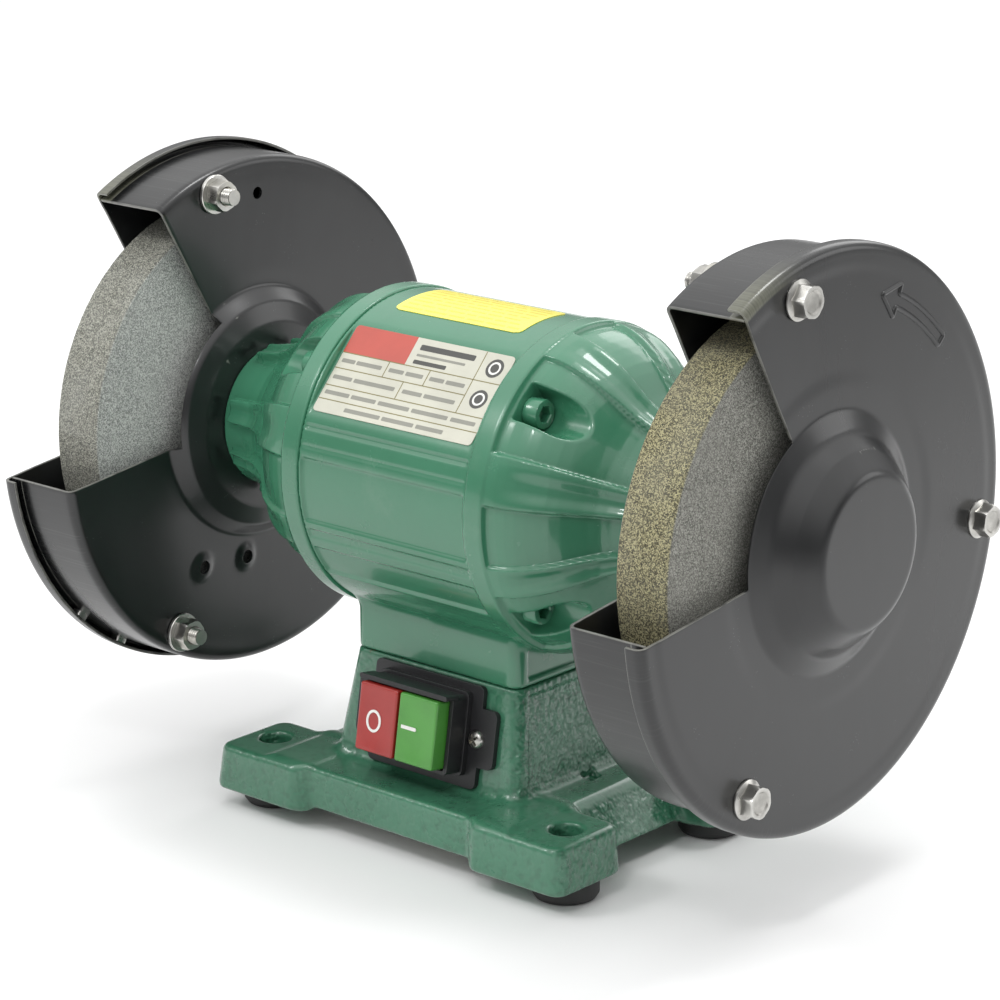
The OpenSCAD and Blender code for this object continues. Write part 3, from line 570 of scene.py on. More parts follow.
def moulded(name, color, rough=0.42, grain=1.0, coat=0.0):
    """Moulded plastic or rubber with a fine grain and a little grime."""
    m = Paint(name, Metallic=0.0, Coat_Weight=coat, Coat_Roughness=0.12, IOR=1.5)
    drift = m.noise(90.0, 3.0)
    base = m.mix(m.band(drift, 0.3, 0.7), scaled(color, 0.86), color)
    grime = m.band(m.noise(220.0, 4.0, 0.7), 0.60, 0.74)
    base = m.over(base, scaled(color, 0.45, 0.02), grime, 0.22 * grain)
    m.color(m.over(base, scaled(color, 1.3, 0.05), m.edges(), 0.25))
    m.rough(drift, 0.16, rough - 0.08)
    return m.bump((m.noise(1400.0, 2.0), 0.22 * grain, 0.06), (m.noise(60.0, 1.0), 0.15, 0.15))


def printed(name, color, rough=0.3, coat=0.3):
    """A printed plastic film: slight mottle in its colour and gloss."""
    m = Paint(name, Metallic=0.0, Coat_Weight=coat, Coat_Roughness=0.1, IOR=1.5)
    haze = m.noise(70.0, 3.0)
    m.color(m.mix(m.band(haze, 0.3, 0.75), color, scaled(color, 0.88)))
    m.rough(haze, 0.14, rough - 0.06)
    return m.bump((m.noise(900.0, 2.0), 0.10, 0.03), (m.noise(25.0, 1.0), 0.25, 0.25))


def laminated(name, tint):
    """A stack of thin steel sheets, seen from its edge."""
    m = Paint(name, Metallic=0.9)
    sheets = m.node("TexWave", 0, {"bands_direction": "X"}, Vector=m.coord, Scale=320.0, Distortion=0.3)
    m.color(m.mix(sheets, tint, scaled(tint, 0.55)))
    m.rough(m.noise(200.0), 0.2, 0.35)
    return m.bump((sheets, 0.5, 0.1))


def wound(name, deep, bright):
    """Enamelled copper wire."""
    m = Paint(name, Metallic=0.75, Coat_Weight=0.4, Coat_Roughness=0.2)
    wires = m.node("TexWave", 0, {"bands_direction": "Z"}, Vector=m.coord, Scale=420.0, Distortion=2.5,
                   Detail=2.0)
    m.color(m.mix(wires, deep, bright))
    m.rough(wires, 0.1, 0.28)
    return m.bump((wires, 0.8, 0.3))


GREENS = srgb(63, 128, 98), srgb(54, 115, 86)
LOOKS = {
    "green_enamel": (enamel, *GREENS, 0.06),
    "cast_enamel": (enamel, srgb(64, 121, 94), srgb(53, 105, 80), 0.8, 0.22),
    "black_enamel": (black_sheet,),
    "zinc": (zinc,),
    "green_screws": (enamel, *GREENS, 0.04),
    "steel": (turned_steel,),
    "laminations": (laminated, (0.22, 0.23, 0.25)),
    "rotor_metal": (turned_steel, (0.55, 0.56, 0.58)),
    "copper": (wound, (0.22, 0.07, 0.02), (0.72, 0.30, 0.10)),
    "rubber": (moulded, (0.018, 0.018, 0.018), 0.62, 1.6),
    "black_nylon": (moulded, (0.022, 0.022, 0.024), 0.45),
    "can": (zinc, (0.72, 0.72, 0.70), 0.35),
    "ivory": (moulded, srgb(226, 216, 186), 0.5),
    "grit": (grit, srgb(164, 164, 156), srgb(92, 92, 86), srgb(182, 176, 136), srgb(64, 60, 40)),
    "grit_left": (grit, srgb(202, 205, 200), srgb(120, 123, 120), srgb(172, 172, 160), srgb(92, 92, 84)),
    "card": (printed, srgb(206, 186, 128), 0.75, 0.0),
    "switch_black": (moulded, srgb(36, 36, 38), 0.40, 0.8),
    "red_button": (moulded, srgb(160, 40, 34), 0.34, 0.25, 0.3),
    "green_button": (moulded, srgb(74, 146, 56), 0.34, 0.25, 0.3),
    "mark_white": (printed, srgb(235, 235, 230), 0.4, 0.1),
    "plate": (printed, srgb(198, 197, 182), 0.30, 0.3),
    "plate_red": (printed, srgb(186, 76, 62), 0.30, 0.3),
    "plate_rule": (printed, srgb(120, 112, 62), 0.35, 0.3),
    "plate_ink": (printed, srgb(58, 58, 54), 0.35, 0.3),
    "plate_grey": (printed, srgb(134, 134, 124), 0.35, 0.3),
    "yellow_label": (printed, srgb(250, 238, 96), 0.26, 0.4),
    "yellow_ink": (printed, srgb(222, 204, 62), 0.3, 0.4),
}
MAT = {name: maker(name, *values) for name, (maker, *values) in LOOKS.items()}


# ---- castings

def base_casting():
    lo, hi, pitch = (-82, -60, 5), (82, 60, 62.5), 0.8
    x, y, z = grid(lo, hi, pitch)
    ax, ay = np.abs(x), np.abs(y)
    # pedestal: drafted block, lumpy ends recessed a little behind its front corners
    hx, hy = PED_X + (PED_TOP - z) * math.tan(END_LEAN), PED_Y + (PED_TOP - z) * math.tan(FRONT_LEAN)
    pedestal = smax(plan_box(x, y, hx, hy, 4.5) * 0.985, z - PED_TOP, 1.0)
    pedestal = carve(pedestal, 1.4, ay - (hy - 6.5), hx - 0.9 - ax, z - (PED_TOP - 3.5))
    # deck, its end rails and the four feet
    plate = within(z, DECK_TOP - 7.5, 7.5)
    deck = smax(np.maximum(ax - 54.0, ay - 53.0), plate, 2.2)
    rail = smax((ax - (56.5 + (DECK_TOP - z) * 0.767)) * 0.794, ay - 25.0, 2.0)
    rail = smax(rail, plate, 2.4)
    in_x, in_y, out_x, out_y = 38.0, 23.5, 78 + (DECK_TOP - z) * 0.125, 57 + (DECK_TOP - z) * 0.062
    foot = plan_box(ax - (in_x + out_x) / 2, ay - (in_y + out_y) / 2,
                    (out_x - in_x) / 2, (out_y - in_y) / 2, 5.5)
    foot = smax(foot, within(z, DECK_TOP - 8.25, 8.25), 2.4)
    body = smin(smin(smin(deck, rail, 3.0), foot, 4.0), pedestal, 4.5)
    # the pad round the cable gland, and a drain notch where the deck meets the foot of each end face
    gland = np.hypot(x, z - GLAND_Z)
    body = smin(body, np.maximum(gland - 12.0, within(y, 27.5, 7.5)), 2.0)
    body = carve(body, 0.6, within(ax, 43.5, 2.0), within(y, 2.0, 3.2), within(z, DECK_TOP + 1, 1.4))
    # the inside, round the bosses of the bottom plate's screws
    hollow = np.maximum(plan_box(x, y, hx - 4, hy - 4, 2.0), z - 56)
    hollow = np.minimum(meet(ax - 49, ay - 48, z - 18), hollow)
    bosses = np.maximum(np.hypot(ax - 44, ay - 42) - 4.5, 9.4 - z)
    body = carve(body, 0.8, hollow, -bosses)
    # holes in the feet, for the gland, and up into the housing
    body = carve(body, 1.6, np.hypot(ax - 67.0, ay - 39.0) - 5.55)
    body = carve(body, 0.4, gland - 6.15, 15 - y)
    body = carve(body, 0, np.hypot(x, y) - 10, 50 - z)
    # the opening behind the switch, in the frame of that face
    c, s = math.cos(FRONT_LEAN), math.sin(FRONT_LEAN)
    v = (z - PED_TOP) * c - (y + PED_Y) * s
    w = (z - PED_TOP) * s - (y + PED_Y) * c
    body = carve(body, 0, ax - 18.4, within(v, SWITCH_V, 12.9), -w - 12)
    mesh, normals = surface(body, lo, pitch)
    make("base_shell", mesh, "stand", "green_enamel", "cast_enamel", ["base_casting"], 0, normals)


def housing():
    lo, hi, pitch = (-38.6, -58, 60), (38.6, 58, 184.5), 0.65
    x, y, z = grid(lo, hi, pitch)
    ax, up = np.abs(x), z - SHAFT_Z
    r = np.hypot(y, up)
    turn = np.degrees(np.abs(np.arctan2(y, up)))
    # long panels sunk into the drum: depth, first and last angle off the top, width of the edges
    panels = ((0.75, 70.4, 72.0, 1.2), (1.15, 82.2, 105.6, 1.2), (0.6, 108.8, 112.4, 1.2),
              (0.9, 117.0, 129.5, 1.2), (0.35, 77.5, 78.6, 1.0))
    sunk = 0
    for depth, first, last, width in panels:
        for sign, edge in ((1, first), (-1, last)):
            sunk = sunk + sign * depth * step(turn, edge - width / 2, edge + width / 2)
    body = r - (DRUM_R - sunk * (1 - step(ax, 35.7, 36.5)))
    flat = up * math.cos(FLAT_TILT) + np.abs(y) * math.sin(FLAT_TILT) - (FLAT_H - 0.02)
    body = smax(body, np.minimum(flat, 36.3 - ax), 0.5)
    body = np.maximum(body, ax - (BELL_X - 0.2))
    # the skirt that stands on the pedestal, with a recess in each end
    skirt = plan_box(x, y, 37.1, 29.1, 4.5)
    skirt = carve(skirt, 1.6, np.abs(y) - 22.5, 36.0 - ax, 64.0 - z)
    skirt = smax(np.maximum(skirt, z - 105), PED_TOP + 0.25 - z, 1.0)
    body = smin(body, skirt, 3.5)
    # the bore round the stator, and the way down into the pedestal
    corners = np.maximum(np.abs(y + up), np.abs(y - up)) * 0.7071 - 42.1
    body = carve(body, 0, r - 48.1, corners)
    body = carve(body, 0, plan_box(x, y, 33, 25, 2.0), z - 95)
    mesh, normals = surface(body, lo, pitch)
    make("housing_shell", mesh, "stand", "green_enamel", None, ["motor_housing"], 0, normals)


# (x, radius) along the top of a rib and along the inside of an end bell
RIB_TOP = np.array([(37.4, 56.3), (44.6, 56.3), (45, 56.0), (49, 55.4), (52, 54.6), (55, 53.5), (58, 52.0),
                    (61, 50.2), (64, 48.2), (67, 45.6), (70, 42.6), (73, 39.6), (76, 36.9), (79, 34.8),
                    (82, 33.0), (85, 31.4), (88, 30.2), (94, 29.0), (100, 28.2), (110, 28.2)])
BELL_IN = np.array([(30, 50.5), (50, 50.5), (58, 46), (66, 39), (74, 31), (80, 24), (80.2, 17.55),
                    (93, 17.55), (93.2, 9), (110, 9)])


def bell_mesh():
    lo, hi, pitch = (36.8, -58, SHAFT_Z - 58), (104.4, 58, SHAFT_Z + 58), 0.58
    x, y, z = grid(lo, hi, pitch)
    up = z - SHAFT_Z
    r = np.hypot(y, up)
    # the ribs repeat every quarter turn, but those at the side sit a few degrees low
    turn = np.abs(np.degrees(np.arctan2(y, up)))
    turn = turn - np.interp(turn, [0, 50, 65, 84, 106, 124, 180], [0, 0, 2.3, 4.4, 5.2, 0, 0])
    fold = np.abs((turn + 45) % 90 - 45)
    xs = x[:, 0, 0]
    profile = np.interp(xs, *RIB_TOP.T)
    slope = np.convolve(np.gradient(profile, xs), np.ones(7) / 7, "same")
    top, lean, inside = (line[:, None, None].astype(np.float32)
                         for line in (profile, 1 / np.hypot(1, slope), np.interp(xs, *BELL_IN.T)))
    # between the ribs, panels sunk to one side of a deeper valley
    mm = np.maximum(r, 20) * math.pi / 180
    panel = 1 - step((fold - 10.5) * mm, -0.4, 0.4) + step((fold - 26.7) * mm, -0.4, 0.4)
    valley = step(1.15 - np.abs(fold - 18.1) / 5.4, 0, 1)
    sink = 1.6 + 1.6 * step(x, 50, 76)
    depth = step(x, 45.0, 45.9) * (panel * sink + valley * 1.35 * step(x, 45.5, 62.0))
    body = smax((r - (top - depth)) * lean, BELL_X - x, 0.5)
    body = smax(body, x - 100.0, 0.9)
    flange = smax(smax(r - 56.35, BELL_X - x, 0.6), x - 44.8, 0.8)
    body = smin(body, flange, 0.8)
    body = smin(body, np.maximum(r - 25.4, x - 103.45), 0.8)
    # screw pockets, open outwards, with a rounded inner end, and the lugs under them
    pockets, lugs, pocket_r = [], [], 48.6
    for a in SCREW_ANGLES:
        out, across = up * math.cos(a) + y * math.sin(a), y * math.cos(a) - up * math.sin(a)
        pockets.append(np.where(out > pocket_r, np.abs(across), np.hypot(out - pocket_r, across)) - 7.1)
        lugs.append(np.hypot(out - SCREW_R, across) - 10.4)
    body = carve(body, 0.8, functools.reduce(np.minimum, pockets), 46.6 - x)
    lug = np.maximum(functools.reduce(np.minimum, lugs), 42.5 - x)
    return surface(carve(body, 0, r - inside, -lug), lo, pitch)


def bells():
    mesh, normals = bell_mesh()
    for name, side in SIDES:
        make(name + "_bell_shell", mirrored(mesh, side), "stand", "green_enamel", None,
             [name + "_end_bell"], 0, normals * (side, 1, 1))


# ---- guards

def sheet(line, cut_r, pitch_deg, shape, closed=False):
    """(radius, x) points turned about the shaft into a sheet, open over the mouth outside cut_r.

    shape moves the points along X, and closed fills in the middle."""
    r = line[:, 0]
    k_cut = int(np.argmin(np.abs(r - cut_r) + (np.arange(len(r)) < 2) * 100))
    inner = line[:k_cut + 2][np.argsort(r[:k_cut + 2])]
    line = line.copy()
    line[k_cut] = (cut_r, np.interp(cut_r, *inner.T))
    gap = MOUTH[1] - MOUTH[0]
    rest = 2 * math.pi - gap
    n_out, n_in = (int(round(math.degrees(a) / pitch_deg)) for a in (rest, gap))
    angles = MOUTH[1] + np.concatenate([np.arange(n_out + 1) * rest / n_out,
                                        rest + np.arange(1, n_in) * gap / n_in])
    m, n = len(angles), len(line)
    radius, a = np.meshgrid(line[:, 0], angles)
    y, z = radius * np.cos(a), radius * np.sin(a)
    verts = np.stack([line[:, 1] + shape(y, z, radius), y, SHAFT_Z + z], -1).reshape(-1, 3)
    faces = []
    for i in range(m):
        j = (i + 1) % m
        stop = k_cut if i >= n_out else n - 1
        faces += [(i * n + k, i * n + k + 1, j * n + k + 1, j * n + k) for k in range(stop)]
    if closed:
        faces.append(tuple(i * n for i in range(m)))
    used = sorted({v for f in faces for v in f})
    index = {v: i for i, v in enumerate(used)}
    return verts[used], [tuple(index[v] for v in f) for f in faces]


def thickened(ob, thickness):
    s = ob.modifiers.new("sheet", "SOLIDIFY")
    s.thickness = thickness * MM
    s.offset = 0.0
    s.use_even_offset = True
    bevelled(ob, 0.3, 2, 50)


def plate_shape(y, z, r):
    """Pressed dimples round the tool rest holes and a faint oil-canning of the flat."""
    dimples = sum(1 - step(np.hypot(y - hole_y, z - hole_z), 2.6, 5.6) for hole_y, hole_z in REST_HOLES)
    flat = step(r, 47, 52) * (1 - step(r, 84, 89))
    return flat * 0.18 * np.sin(np.arctan2(z, y) * 3 + 0.7) - 1.1 * dimples


def cover_shape(y, z, r):
    """A faint oil-canning of the flat of the cover."""
    flat = step(r, 50, 56) * (1 - step(r, 86, 90))
    return flat * 0.22 * np.sin(np.arctan2(z, y) * 2 + 1.1)


def arrow(name, side):
    """The raised outline of a curved arrow that gives the direction of turning."""
    inner, middle, outer, wing = 77.8, 80.0, 82.2, 5.7
    tail, neck, tip = 44, 66, 72.4
    head = [arc(0, 0, r, a, a, 0)[0]
            for r, a in ((middle - wing, neck), (middle, tip), (middle + wing, neck))]
    line = arc(0, 0, inner, tail, neck, 15) + head + arc(0, 0, outer, neck, tail, 15)
    p = refine(np.array(line + line[:1]), 0.5)[:-1]
    for _ in range(2):
        p = p * 0.5 + (np.roll(p, 1, 0) + np.roll(p, -1, 0)) * 0.25
    along = np.roll(p, -1, 0) - np.roll(p, 1, 0)
    along /= np.linalg.norm(along, axis=1)[:, None]
    sides = 12
    around = np.arange(sides) * 2 * math.pi / sides
    x = COVER_X + 0.25 + cover_shape(p[:, 0], p[:, 1], np.hypot(p[:, 0], p[:, 1]))[:, None]
    verts = np.stack([x + 0.85 * np.sin(around),
                      p[:, :1] + 0.95 * np.cos(around) * along[:, 1:],
                      SHAFT_Z + p[:, 1:] - 0.95 * np.cos(around) * along[:, :1]], -1).reshape(-1, 3)
    mesh = mirrored((verts, quads(len(p), sides, True, True)), side)
    make(name + "_arrow_bead", mesh, "stand", "black_enamel", smooth=0)


def tabs(name, side):
    """Small bright tabs in the gap between the drum and the lip of the cover."""
    parts = []
    for a in np.radians((20, 226, 240, 310)):
        v, f = slab(round_rect(-2.4, 2.4, 0.0, 4.2, 0.8, 3), 0, 1.9)
        outwards, across = (0, math.cos(a), math.sin(a)), (0, -math.sin(a), math.cos(a))
        verts = np.outer(GUARD_R + 0.65 + v[:, 2], outwards) + np.outer(v[:, 0], across) + (136.6, 0, SHAFT_Z)
        verts[:, 0] += v[:, 1]
        parts.append((verts, f))
    make(name + "_lip_tabs", mirrored(join(parts), side), "stand", "zinc")


def guards():
    plate = fillet([(10, 104.1), (33.8, 104.1), (40.5, 106.6), (45.5, PLATE_X), (GUARD_R, PLATE_X),
                    (GUARD_R, 141.3)], [0, 5.0, 3.0, 3.5, 2.6, 0], 7)
    cover = fillet([(0, 157.45), (25.2, 157.45), (31.5, 151.0), (36.0, 145.2), (43.0, COVER_X),
                    (LIP_R, COVER_X), (LIP_R, 136.2)], [0, 4.2, 7.0, 7.0, 5.0, 2.8, 0], 7)
    cover = refine(cover, 1.0)
    plate_mesh = sheet(refine(plate, 1.6), 42.0, 1.0, plate_shape)
    cover_mesh = sheet(cover[cover[:, 0] > 7.5], 43.0, 0.5, cover_shape, closed=True)
    holes = [(2.5, *hole) for hole in REST_HOLES] + [(2.2, *SHIELD_HOLE)]
    rods = join([along_x(slab(disc(r, 32), 0, 16), 104, y, SHAFT_Z + z) for r, y, z in holes])
    for name, side in SIDES:
        ob = make(name + "_guard_sheet", mirrored(plate_mesh, side), "stand", "black_enamel", None,
                  [name + "_guard"], 0)
        thickened(ob, 1.2)
        subtract(ob, [mirrored(rods, side)])
        ob = make(name + "_cover_sheet", mirrored(cover_mesh, side), "stand", "black_enamel", None,
                  [name + "_guard_cover"], 0)
        thickened(ob, 1.0)
        tabs(name, side)
        arrow(name, side)


# ---- wheels

def wheels():
    inner, outer, rim, chamfer, bore = WHEEL_X - WHEEL_HALF, WHEEL_X + WHEEL_HALF, WHEEL_R, 0.7, 16.0
    line = fillet([(bore, inner), (rim - chamfer, inner), (rim, inner + chamfer), (rim, outer - chamfer),
                   (rim - chamfer, outer), (bore, outer)], [0, 0.4, 0.4, 0.4, 0.4, 0], 3)
    line, steps = refine(line, 1.3), 300
    for name, side in SIDES:
        v, faces = along_x(turned(line, steps, closed=True), 0, 0, SHAFT_Z)
        r = np.hypot(v[:, 1], v[:, 2] - SHAFT_Z)
        # the surface is rough: points move into the stone, along X on the faces and inwards on the rim
        wear = np.abs(RNG.normal(0, 0.07, (steps, len(line))).T.ravel() * (r > bore + 1))
        on_rim = r > rim - 0.8
        v[:, 0] += np.where(on_rim, 0, np.sign(WHEEL_X - v[:, 0]) * wear)
        shrink = 1 - wear * on_rim / r
        v[:, 1] *= shrink
        v[:, 2] = SHAFT_Z + (v[:, 2] - SHAFT_Z) * shrink
        look = "grit" if side > 0 else "grit_left"
        make(name + "_wheel_stone", mirrored((v, faces), side), "rotor", "grit", look, [name + "_wheel"], 40)


# ---- fasteners

def hexagon(flats, steps):
    """Radii of a hexagon, one for each step round it."""
    a = np.arange(steps) * 2 * math.pi / steps
    return flats / 2 / np.cos((a + math.pi / 6) % (math.pi / 3) - math.pi / 6)


def hexagon_body(flats, height, chamfer, hole=0.0, steps=72):
    """A bolt's head with chamfered corners and a dished top, or a nut chamfered on both faces."""
    corner = flats / 2 / math.cos(math.pi / 6)
    under = chamfer * 0.5 if hole else 0.0
    levels = ((0.0, under), (height * 0.18, 0.0), (height * 0.80, 0.0), (height, chamfer))
    rings = [(np.minimum(hexagon(flats, steps), corner - cut), z) for z, cut in levels]
    if hole:
        rings += [(hole + 0.5, height), (hole, height - 0.5), (hole, 0.5), (hole + 0.5, 0)]
    else:
        rings += [(flats * 0.39, height), (flats * 0.33, height - 0.45), (flats * 0.1, height - 0.6)]
    return turned(rings, steps, closed=bool(hole))


def thread(r, length, pitch=1.0, depth=0.32):
    rings, z = [(r - 0.9, 0.0)], 0.4
    while z + pitch <= length:
        rings += [(r - depth, z), (r, z + pitch * 0.4), (r, z + pitch * 0.55)]
        z += pitch
    return turned(rings + [(r - depth, z), (r - 0.2, length)], 32)


def guard_fasteners():
    rim = turned([(6.5, 0.0), (6.65, 0.35), (6.6, 0.75), (5.6, 1.35), (4.6, 1.75)], 64)
    head, shank, nut = hexagon_body(10.0, 4.5, 0.55), thread(2.95, 42), hexagon_body(10.0, 4.9, 0.55, 2.98)
    washer = turned([(3.2, 0), (6.8, 0), (7.0, 0.25), (7.0, 1.15), (6.7, 1.4), (3.4, 1.4), (3.2, 1.2)], 64,
                    closed=True)
    heads, nuts, washers = [], [], []
    for i, a in enumerate(np.radians(BOLT_ANGLES)):
        y, z = BOLT_R * math.cos(a), SHAFT_Z + BOLT_R * math.sin(a)
        spin = 0.35 + 0.8 * i
        heads += [along_x(rim, COVER_X + 0.52, y, z), along_x(head, COVER_X + 1.9, y, z, spin),
                  along_x(shank, COVER_X + 0.6, y, z, way=-1)]
        nuts.append(along_x(nut, PLATE_X - 2.15, y, z, spin + 0.5, -1))
        washers.append(along_x(washer, PLATE_X - 2.05, y, z))
    for name, side in SIDES:
        for tag, parts, node in (("_bolt_heads", heads, "_guard_bolts"), ("_lock_nuts", nuts, "_guard_nuts"),
                                 ("_wide_washers", washers, "_guard_washers")):
            make(name + tag, mirrored(join(parts), side), "stand", "zinc", None, [name + node], 28)


def bell_screws():
    socket = hexagon(5.0, 48)
    screw = turned([(2.4, -16), (2.4, 0), (4.6, 0), (5.0, 0.4), (5.0, 5.3), (4.75, 5.8), (4.3, 6.0),
                    (socket + 0.35, 6.0), (socket, 5.6), (socket, 2.6), (0.6, 2.2)])
    screws = [along_x(screw, 46.5, SCREW_R * math.cos(a), SHAFT_Z + SCREW_R * math.sin(a), 0.4 + k)
              for k, a in enumerate(SCREW_ANGLES)]
    for name, side in SIDES:
        make(name + "_cap_screws", mirrored(join(screws), side), "stand", "green_screws", None,
             [name + "_bell_screws"], 30)


# ---- switch

def on_front(mesh):
    """From the middle of the switch (u across, v up the sloped face, w out of it) to the row frame."""
    verts, faces = mesh
    u, v, w = np.asarray(verts, float).T
    c, s = math.cos(FRONT_LEAN), math.sin(FRONT_LEAN)
    v = v + SWITCH_V
    return np.c_[u, v * s - w * c - PED_Y, v * c + w * s + PED_TOP], faces


def front_piece(name, parts, body, slot, look=None, replaces=(), bevel=0.0, smooth=35, segments=3):
    ob = make(name, on_front(join(parts)), body, slot, look, replaces, smooth)
    if bevel:
        bevelled(ob, bevel, segments, 35)
        ob.data.set_sharp_from_angle(angle=math.radians(180))
        w = ob.modifiers.new("normals", "WEIGHTED_NORMAL")
        w.keep_sharp = True
    return ob


def switch_frame():
    half_u, half_v, r = 18, 12.3, 2.2
    # one stepped outline: the plate, wider where the screws go
    right = (arc(22.4, -16.4, r, -90, 0, 6) + [(24.6, -10.6)] + arc(29.2, -8.2, r, -90, 0, 6)
             + arc(29.2, 7.6, r, 0, 90, 6) + [(24.6, 9.8)] + arc(22.4, 15.0, r, 0, 90, 6))
    outline = np.array(right + [(-u, v) for u, v in right[::-1]])
    hole = outline / np.max(np.abs(outline) / (half_u, half_v), axis=1)[:, None]
    plate = frame_ring(outline, hole, 0.08, 2.2)
    # a raised box on a wider foot, with a hood over its top edge
    wall = frame_ring(round_rect(-19.6, 19.6, -13.6, 13.6, 1.6),
                      round_rect(-half_u, half_u, -half_v, half_v, 0.8), 1.5, 11.5)
    foot = frame_ring(round_rect(-20.3, 20.3, -14.7, 14.7, 2.2),
                      round_rect(-19.0, 19.0, -13.0, 13.0, 1.2), 1.5, 4.6)
    hood = slab(round_rect(-19.9, 19.9, 12.35, 14.1, 0.7, 3), 9.0, 15.6)
    front_piece("switch_frame", [plate, wall, foot, hood], "stand", "switch_black", None,
                ["switch_plate"], 0.35)


def button(name, middle, slot, mark_name, mark):
    """A push button with a dished face and a raised mark; both ride on the button's own body."""
    half_u, half_v, back, front, n = 8.55, 11.85, 3.6, 17.2, 14

    def at(layer, u, v):
        dish = 0.55 * (1 - (u / half_u) ** 2) * (1 - (v / half_v) ** 2)
        return middle + u, v, front - dish if layer else back

    cap = two_layers(np.linspace(-half_u, half_u, n), np.linspace(-half_v, half_v, n), at)
    front_piece(name + "_cap", [cap], name, slot, None, [name], 0.8, 60, 4)
    front_piece(mark_name, [mark], name, slot, "mark_white")


def switch_screws():
    """Pan heads with a crossed recess, turned a little out of level."""
    head = [(0.3, -9), (1.2, -8.4), (1.35, 0), (3.15, 0.05), (3.1, 0.7), (2.5, 1.5), (1.5, 1.9), (0.6, 2.0)]
    heads, slots = [], []
    for u, v in ((-23.6, -1.0), (23.6, -1.0)):
        verts, faces = turned(head, 40)
        heads.append((verts + (u, v, 2.15), faces))
        for a, b in ((2.1, 0.4), (0.4, 2.1)):
            slots.append(slab([(u + q * 0.8 - p * 0.6, v + q * 0.6 + p * 0.8)
                               for p, q in ((-b, -a), (b, -a), (b, a), (-b, a))], 3.1, 5.0))
    ob = front_piece("switch_screw_heads", heads, "stand", "zinc", None, ["switch_screws"])
    subtract(ob, [on_front(join(slots))], use_self=True)


def switch():
    switch_frame()
    pitch = 9.05
    around = np.arange(48) * 2 * math.pi / 48
    outer, inner = (np.c_[ru * np.cos(around) - pitch - 1.3, rv * np.sin(around) - 0.8]
                    for ru, rv in ((3.3, 3.9), (2.4, 3.0)))
    button("stop_button", -pitch, "red_button", "stop_mark", frame_ring(outer, inner, 16.3, 16.95))
    bar = slab(round_rect(pitch - 7.6, pitch - 0.1, -0.2, 1.0, 0.55, 4), 16.3, 17.0)
    button("start_button", pitch, "green_button", "start_mark", bar)
    switch_screws()


# ---- labels

def on_flat(mesh):
    """From the flat under the rating plate (u along X, v up it, w out of it) to the row frame."""
    verts, faces = mesh
    u, v, w = np.asarray(verts, float).T
    w = w + FLAT_H
    c, s = math.cos(FLAT_TILT), math.sin(FLAT_TILT)
    return np.c_[u, v * c - w * s, SHAFT_Z + w * c + v * s], faces


def bar(u0, u1, v, height):
    """A printed bar, rounded a little."""
    return slab(round_rect(u0, u1, v - height / 2, v + height / 2, min(height, u1 - u0) * 0.2, 2), 0.3, 0.365)


def rating_plate():
    half_u, half_v, r, edge = 35.4, 17, 1.6, 35.3
    base = slab(round_rect(-half_u, half_u, -half_v, half_v, r), 0.02, 0.33)
    make("rating_plate", on_flat(base), "stand", "plate", None, ["nameplate"], 30)
    corner = arc(r - half_u, half_v - r, r, 180, 90, 6)
    block = slab(corner + [(-7.5, half_v), (-7.5, 6.1), (-half_u, 6.1)], 0.3, 0.36)
    rules = [bar(-edge, end, v, 0.35) for end, v in ((edge, 6.1), (23, 0), (edge, -6.8), (edge, -12.1))]
    rules += [bar(u - 0.17, u + 0.17, (low + high) / 2, high - low) for u, low, high in
              ((23, -6.8, 16.9), (-13.9, 0, 6.1), (4.3, 0, 6.1), (-4.1, -6.8, 0))]
    # short bars stand for the lines of lettering, discs for the marks
    marks = [(29.2, 11.5), (29.2, -0.4)]
    bold = [bar(-4.6, 19.6, 13.6, 2.1), bar(-4.6, 9.8, 8.0, 1.5)]
    bold += [slab(disc(3.5, 48, m), 0.3, 0.365) for m in marks]
    rings = [frame_ring(disc(2.4, 40, m), disc(1.7, 40, m), 0.36, 0.40) for m in marks]
    grey = [bar(-4.6, 16.8, 10.6, 0.9)]
    for v, cells in ((3.1, ((-34, -28), (-27.3, -16), (-12.6, -6), (-5, 2.6), (5.6, 12), (12.9, 21))),
                     (-3.4, ((-34, -25.5), (-24.5, -6.2), (-2.6, 6), (7, 20.5))),
                     (-9.4, ((-34, -23), (-22, -11), (-9.8, 4), (5.2, 21), (22.4, 33))),
                     (-14.6, ((-22, -6), (-5, 9), (10.2, 22)))):
        grey += [bar(u0, u1, v, 1.5) for u0, u1 in cells]
    for name, parts, look in (("plate_block", [block], "plate_red"), ("plate_rules", rules, "plate_rule"),
                              ("plate_bold_bars", bold, "plate_ink"), ("plate_grey_bars", grey, "plate_grey"),
                              ("plate_rings", rings, "mark_white")):
        make(name, on_flat(join(parts)), "stand", "plate", look, (), 30)


def wrap(u, s, lift):
    """A point of the yellow label, which bends round the housing: s runs towards the front."""
    r = 55.8
    a = math.radians(5.0) - s / r
    return u, -(r + lift) * math.sin(a), SHAFT_Z + (r + lift) * math.cos(a)


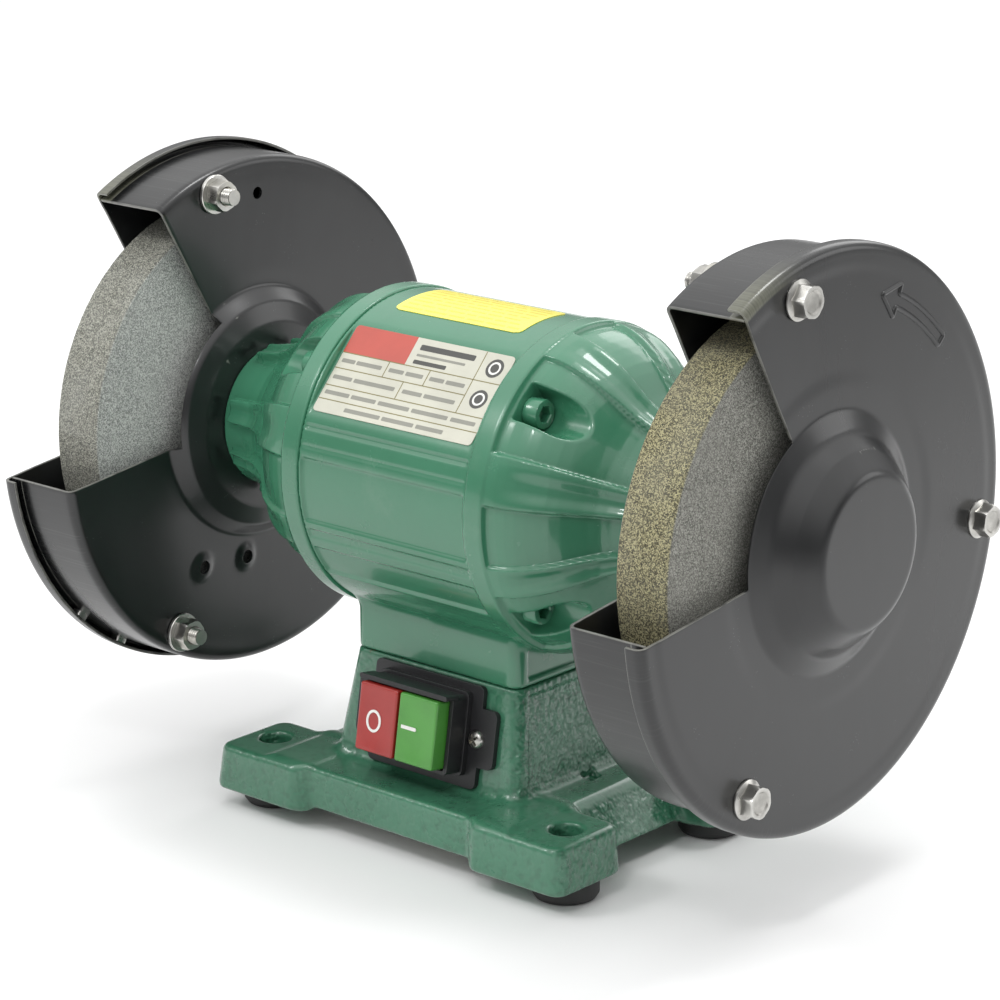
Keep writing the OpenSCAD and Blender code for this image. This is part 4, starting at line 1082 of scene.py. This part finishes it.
def sticker():
    """The yellow label, with lines of short bars where its lettering was."""
    us, ss = np.linspace(-28.6, 27.6, 48), np.linspace(-12.6, 12.8, 36)
    middle, half, corner = (us[0] + us[-1]) / 2, (us[-1] - us[0]) / 2, 2.6

    def at(layer, u, s):
        past = max(0, corner - min(s - ss[0], ss[-1] - s))
        inset = corner - math.sqrt(max(0, corner ** 2 - past ** 2))
        return wrap(middle + (u - middle) * (half - inset) / half, s, 0.22 if layer else -0.02)

    make("blank_sticker", two_layers(us, ss, at), "stand", "yellow_label", None, ["blank_label"], 30)
    lines = []
    for k in range(8):
        s, u = -10.2 + 2.9 * k, -26.2
        while u < 22:
            end = min(u + float(RNG.uniform(3.5, 10)), 25.4)
            verts, faces = slab([(u, s - 0.45), (end, s - 0.45), (end, s + 0.45), (u, s + 0.45)], 0.20, 0.245)
            lines.append((np.array([wrap(*v) for v in verts]), faces))
            u = end + 1.3
    make("sticker_lines", join(lines), "stand", "yellow_label", "yellow_ink", (), 30)


# ---- CAD nodes

def carry_over():
    slots = {s["node"]: s["material_slot"] for s in frame["record"]["subparts"]}
    for name, ob in nodes.items():
        ob.data.materials.clear()
        ob.data.materials.append(MAT[slots[name]])
    for name in ("rubber_feet", "left_shaft_nut", "right_shaft_nut", "cable_gland", "bottom_plate",
                 "gland_nut"):
        bevelled(nodes[name], 0.35)


# ---- stage

def stage():
    """A pale floor with painted shade towards the right, where only the right cover mirrors it."""
    me = bpy.data.meshes.new("floor")
    ticks = np.linspace(-8.0, 8.0, 41)
    me.from_pydata([(x, y, -0.0004) for y in ticks for x in ticks], [], quads(len(ticks), len(ticks)))
    m = Paint("floor_paper", Coat_Weight=0.0, Roughness=0.8)
    paper = m.mix(m.band(m.noise(1.2, 2.0), 0.3, 0.7), (0.86, 0.86, 0.86), (0.88, 0.88, 0.88))
    # painted shade: the floor turns grey to the right, so the right cover mirrors a darker floor
    m.color(m.over(paper, (0.46, 0.46, 0.46), m.band(m.axis(0), 0.32, 0.80)))
    me.materials.append(m.bump((m.noise(300.0, 2.0), 0.05, 0.1)))
    floor = place("floor", me)
    floor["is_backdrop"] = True


def area(name, at, size, power):
    """A round studio light aimed at the middle of the grinder."""
    light = bpy.data.lights.new(name, "AREA")
    light.shape = "DISK"
    light.size = size
    light.energy = power
    ob = place(name, light)
    ob.location = at
    ob.rotation_euler = (Vector((0, 0, 0.11)) - Vector(at)).to_track_quat("-Z", "Y").to_euler()


def light_and_camera():
    world = bpy.data.worlds.new("studio")
    bpy.context.scene.world = world
    world.use_nodes = True
    t = world.node_tree
    # the sky is bright overhead and dim at the horizon
    direction = t.nodes.new("ShaderNodeTexCoord").outputs["Generated"]
    height = t.nodes.new("ShaderNodeSeparateXYZ")
    t.links.new(direction, height.inputs[0])
    sky = t.nodes.new("ShaderNodeMapRange")
    sky.interpolation_type = "SMOOTHSTEP"
    t.links.new(height.outputs[2], sky.inputs[0])
    for i, value in enumerate((0.05, 0.85, 0.30, 1.45), 1):
        sky.inputs[i].default_value = value
    background = t.nodes["Background"]
    background.inputs[0].default_value = (1.0, 1.0, 1.0, 1)
    t.links.new(sky.outputs[0], background.inputs[1])
    area("key", (-0.75, -0.95, 1.25), 0.42, 5.0)
    area("top", (0.27, 0.42, 1.42), 0.36, 4.6)
    area("glint", (0.32, -0.80, 1.05), 0.16, 1.6)
    area("back", (-0.3, 1.3, 0.9), 0.8, 2.5)
    area("behind", (1.30, 1.45, 0.65), 0.9, 3.5)
    camera = bpy.data.cameras.new("camera")
    camera.sensor_width = 36
    camera.lens = 124.73
    ob = place("camera", camera)
    right, up, back = (0.7539, 0.6570, 0.0), (-0.1826, 0.2096, 0.9606), (0.6311, -0.7242, 0.2780)
    ob.matrix_world = Matrix((*zip(right, up, back, (0.75037, -0.85625, 0.44382)), (0, 0, 0, 1)))
    bpy.context.scene.camera = ob
    bpy.context.scene.view_settings.view_transform = "Standard"


base_casting()
housing()
bells()
guards()
wheels()
guard_fasteners()
bell_screws()
switch()
rating_plate()
sticker()
carry_over()
stage()
light_and_camera()

bpy.context.view_layer.update()
plain = lambda box: [[float(c) for c in p] for p in box]
{"cad": plain(cad_box), "visual": plain(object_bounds())}
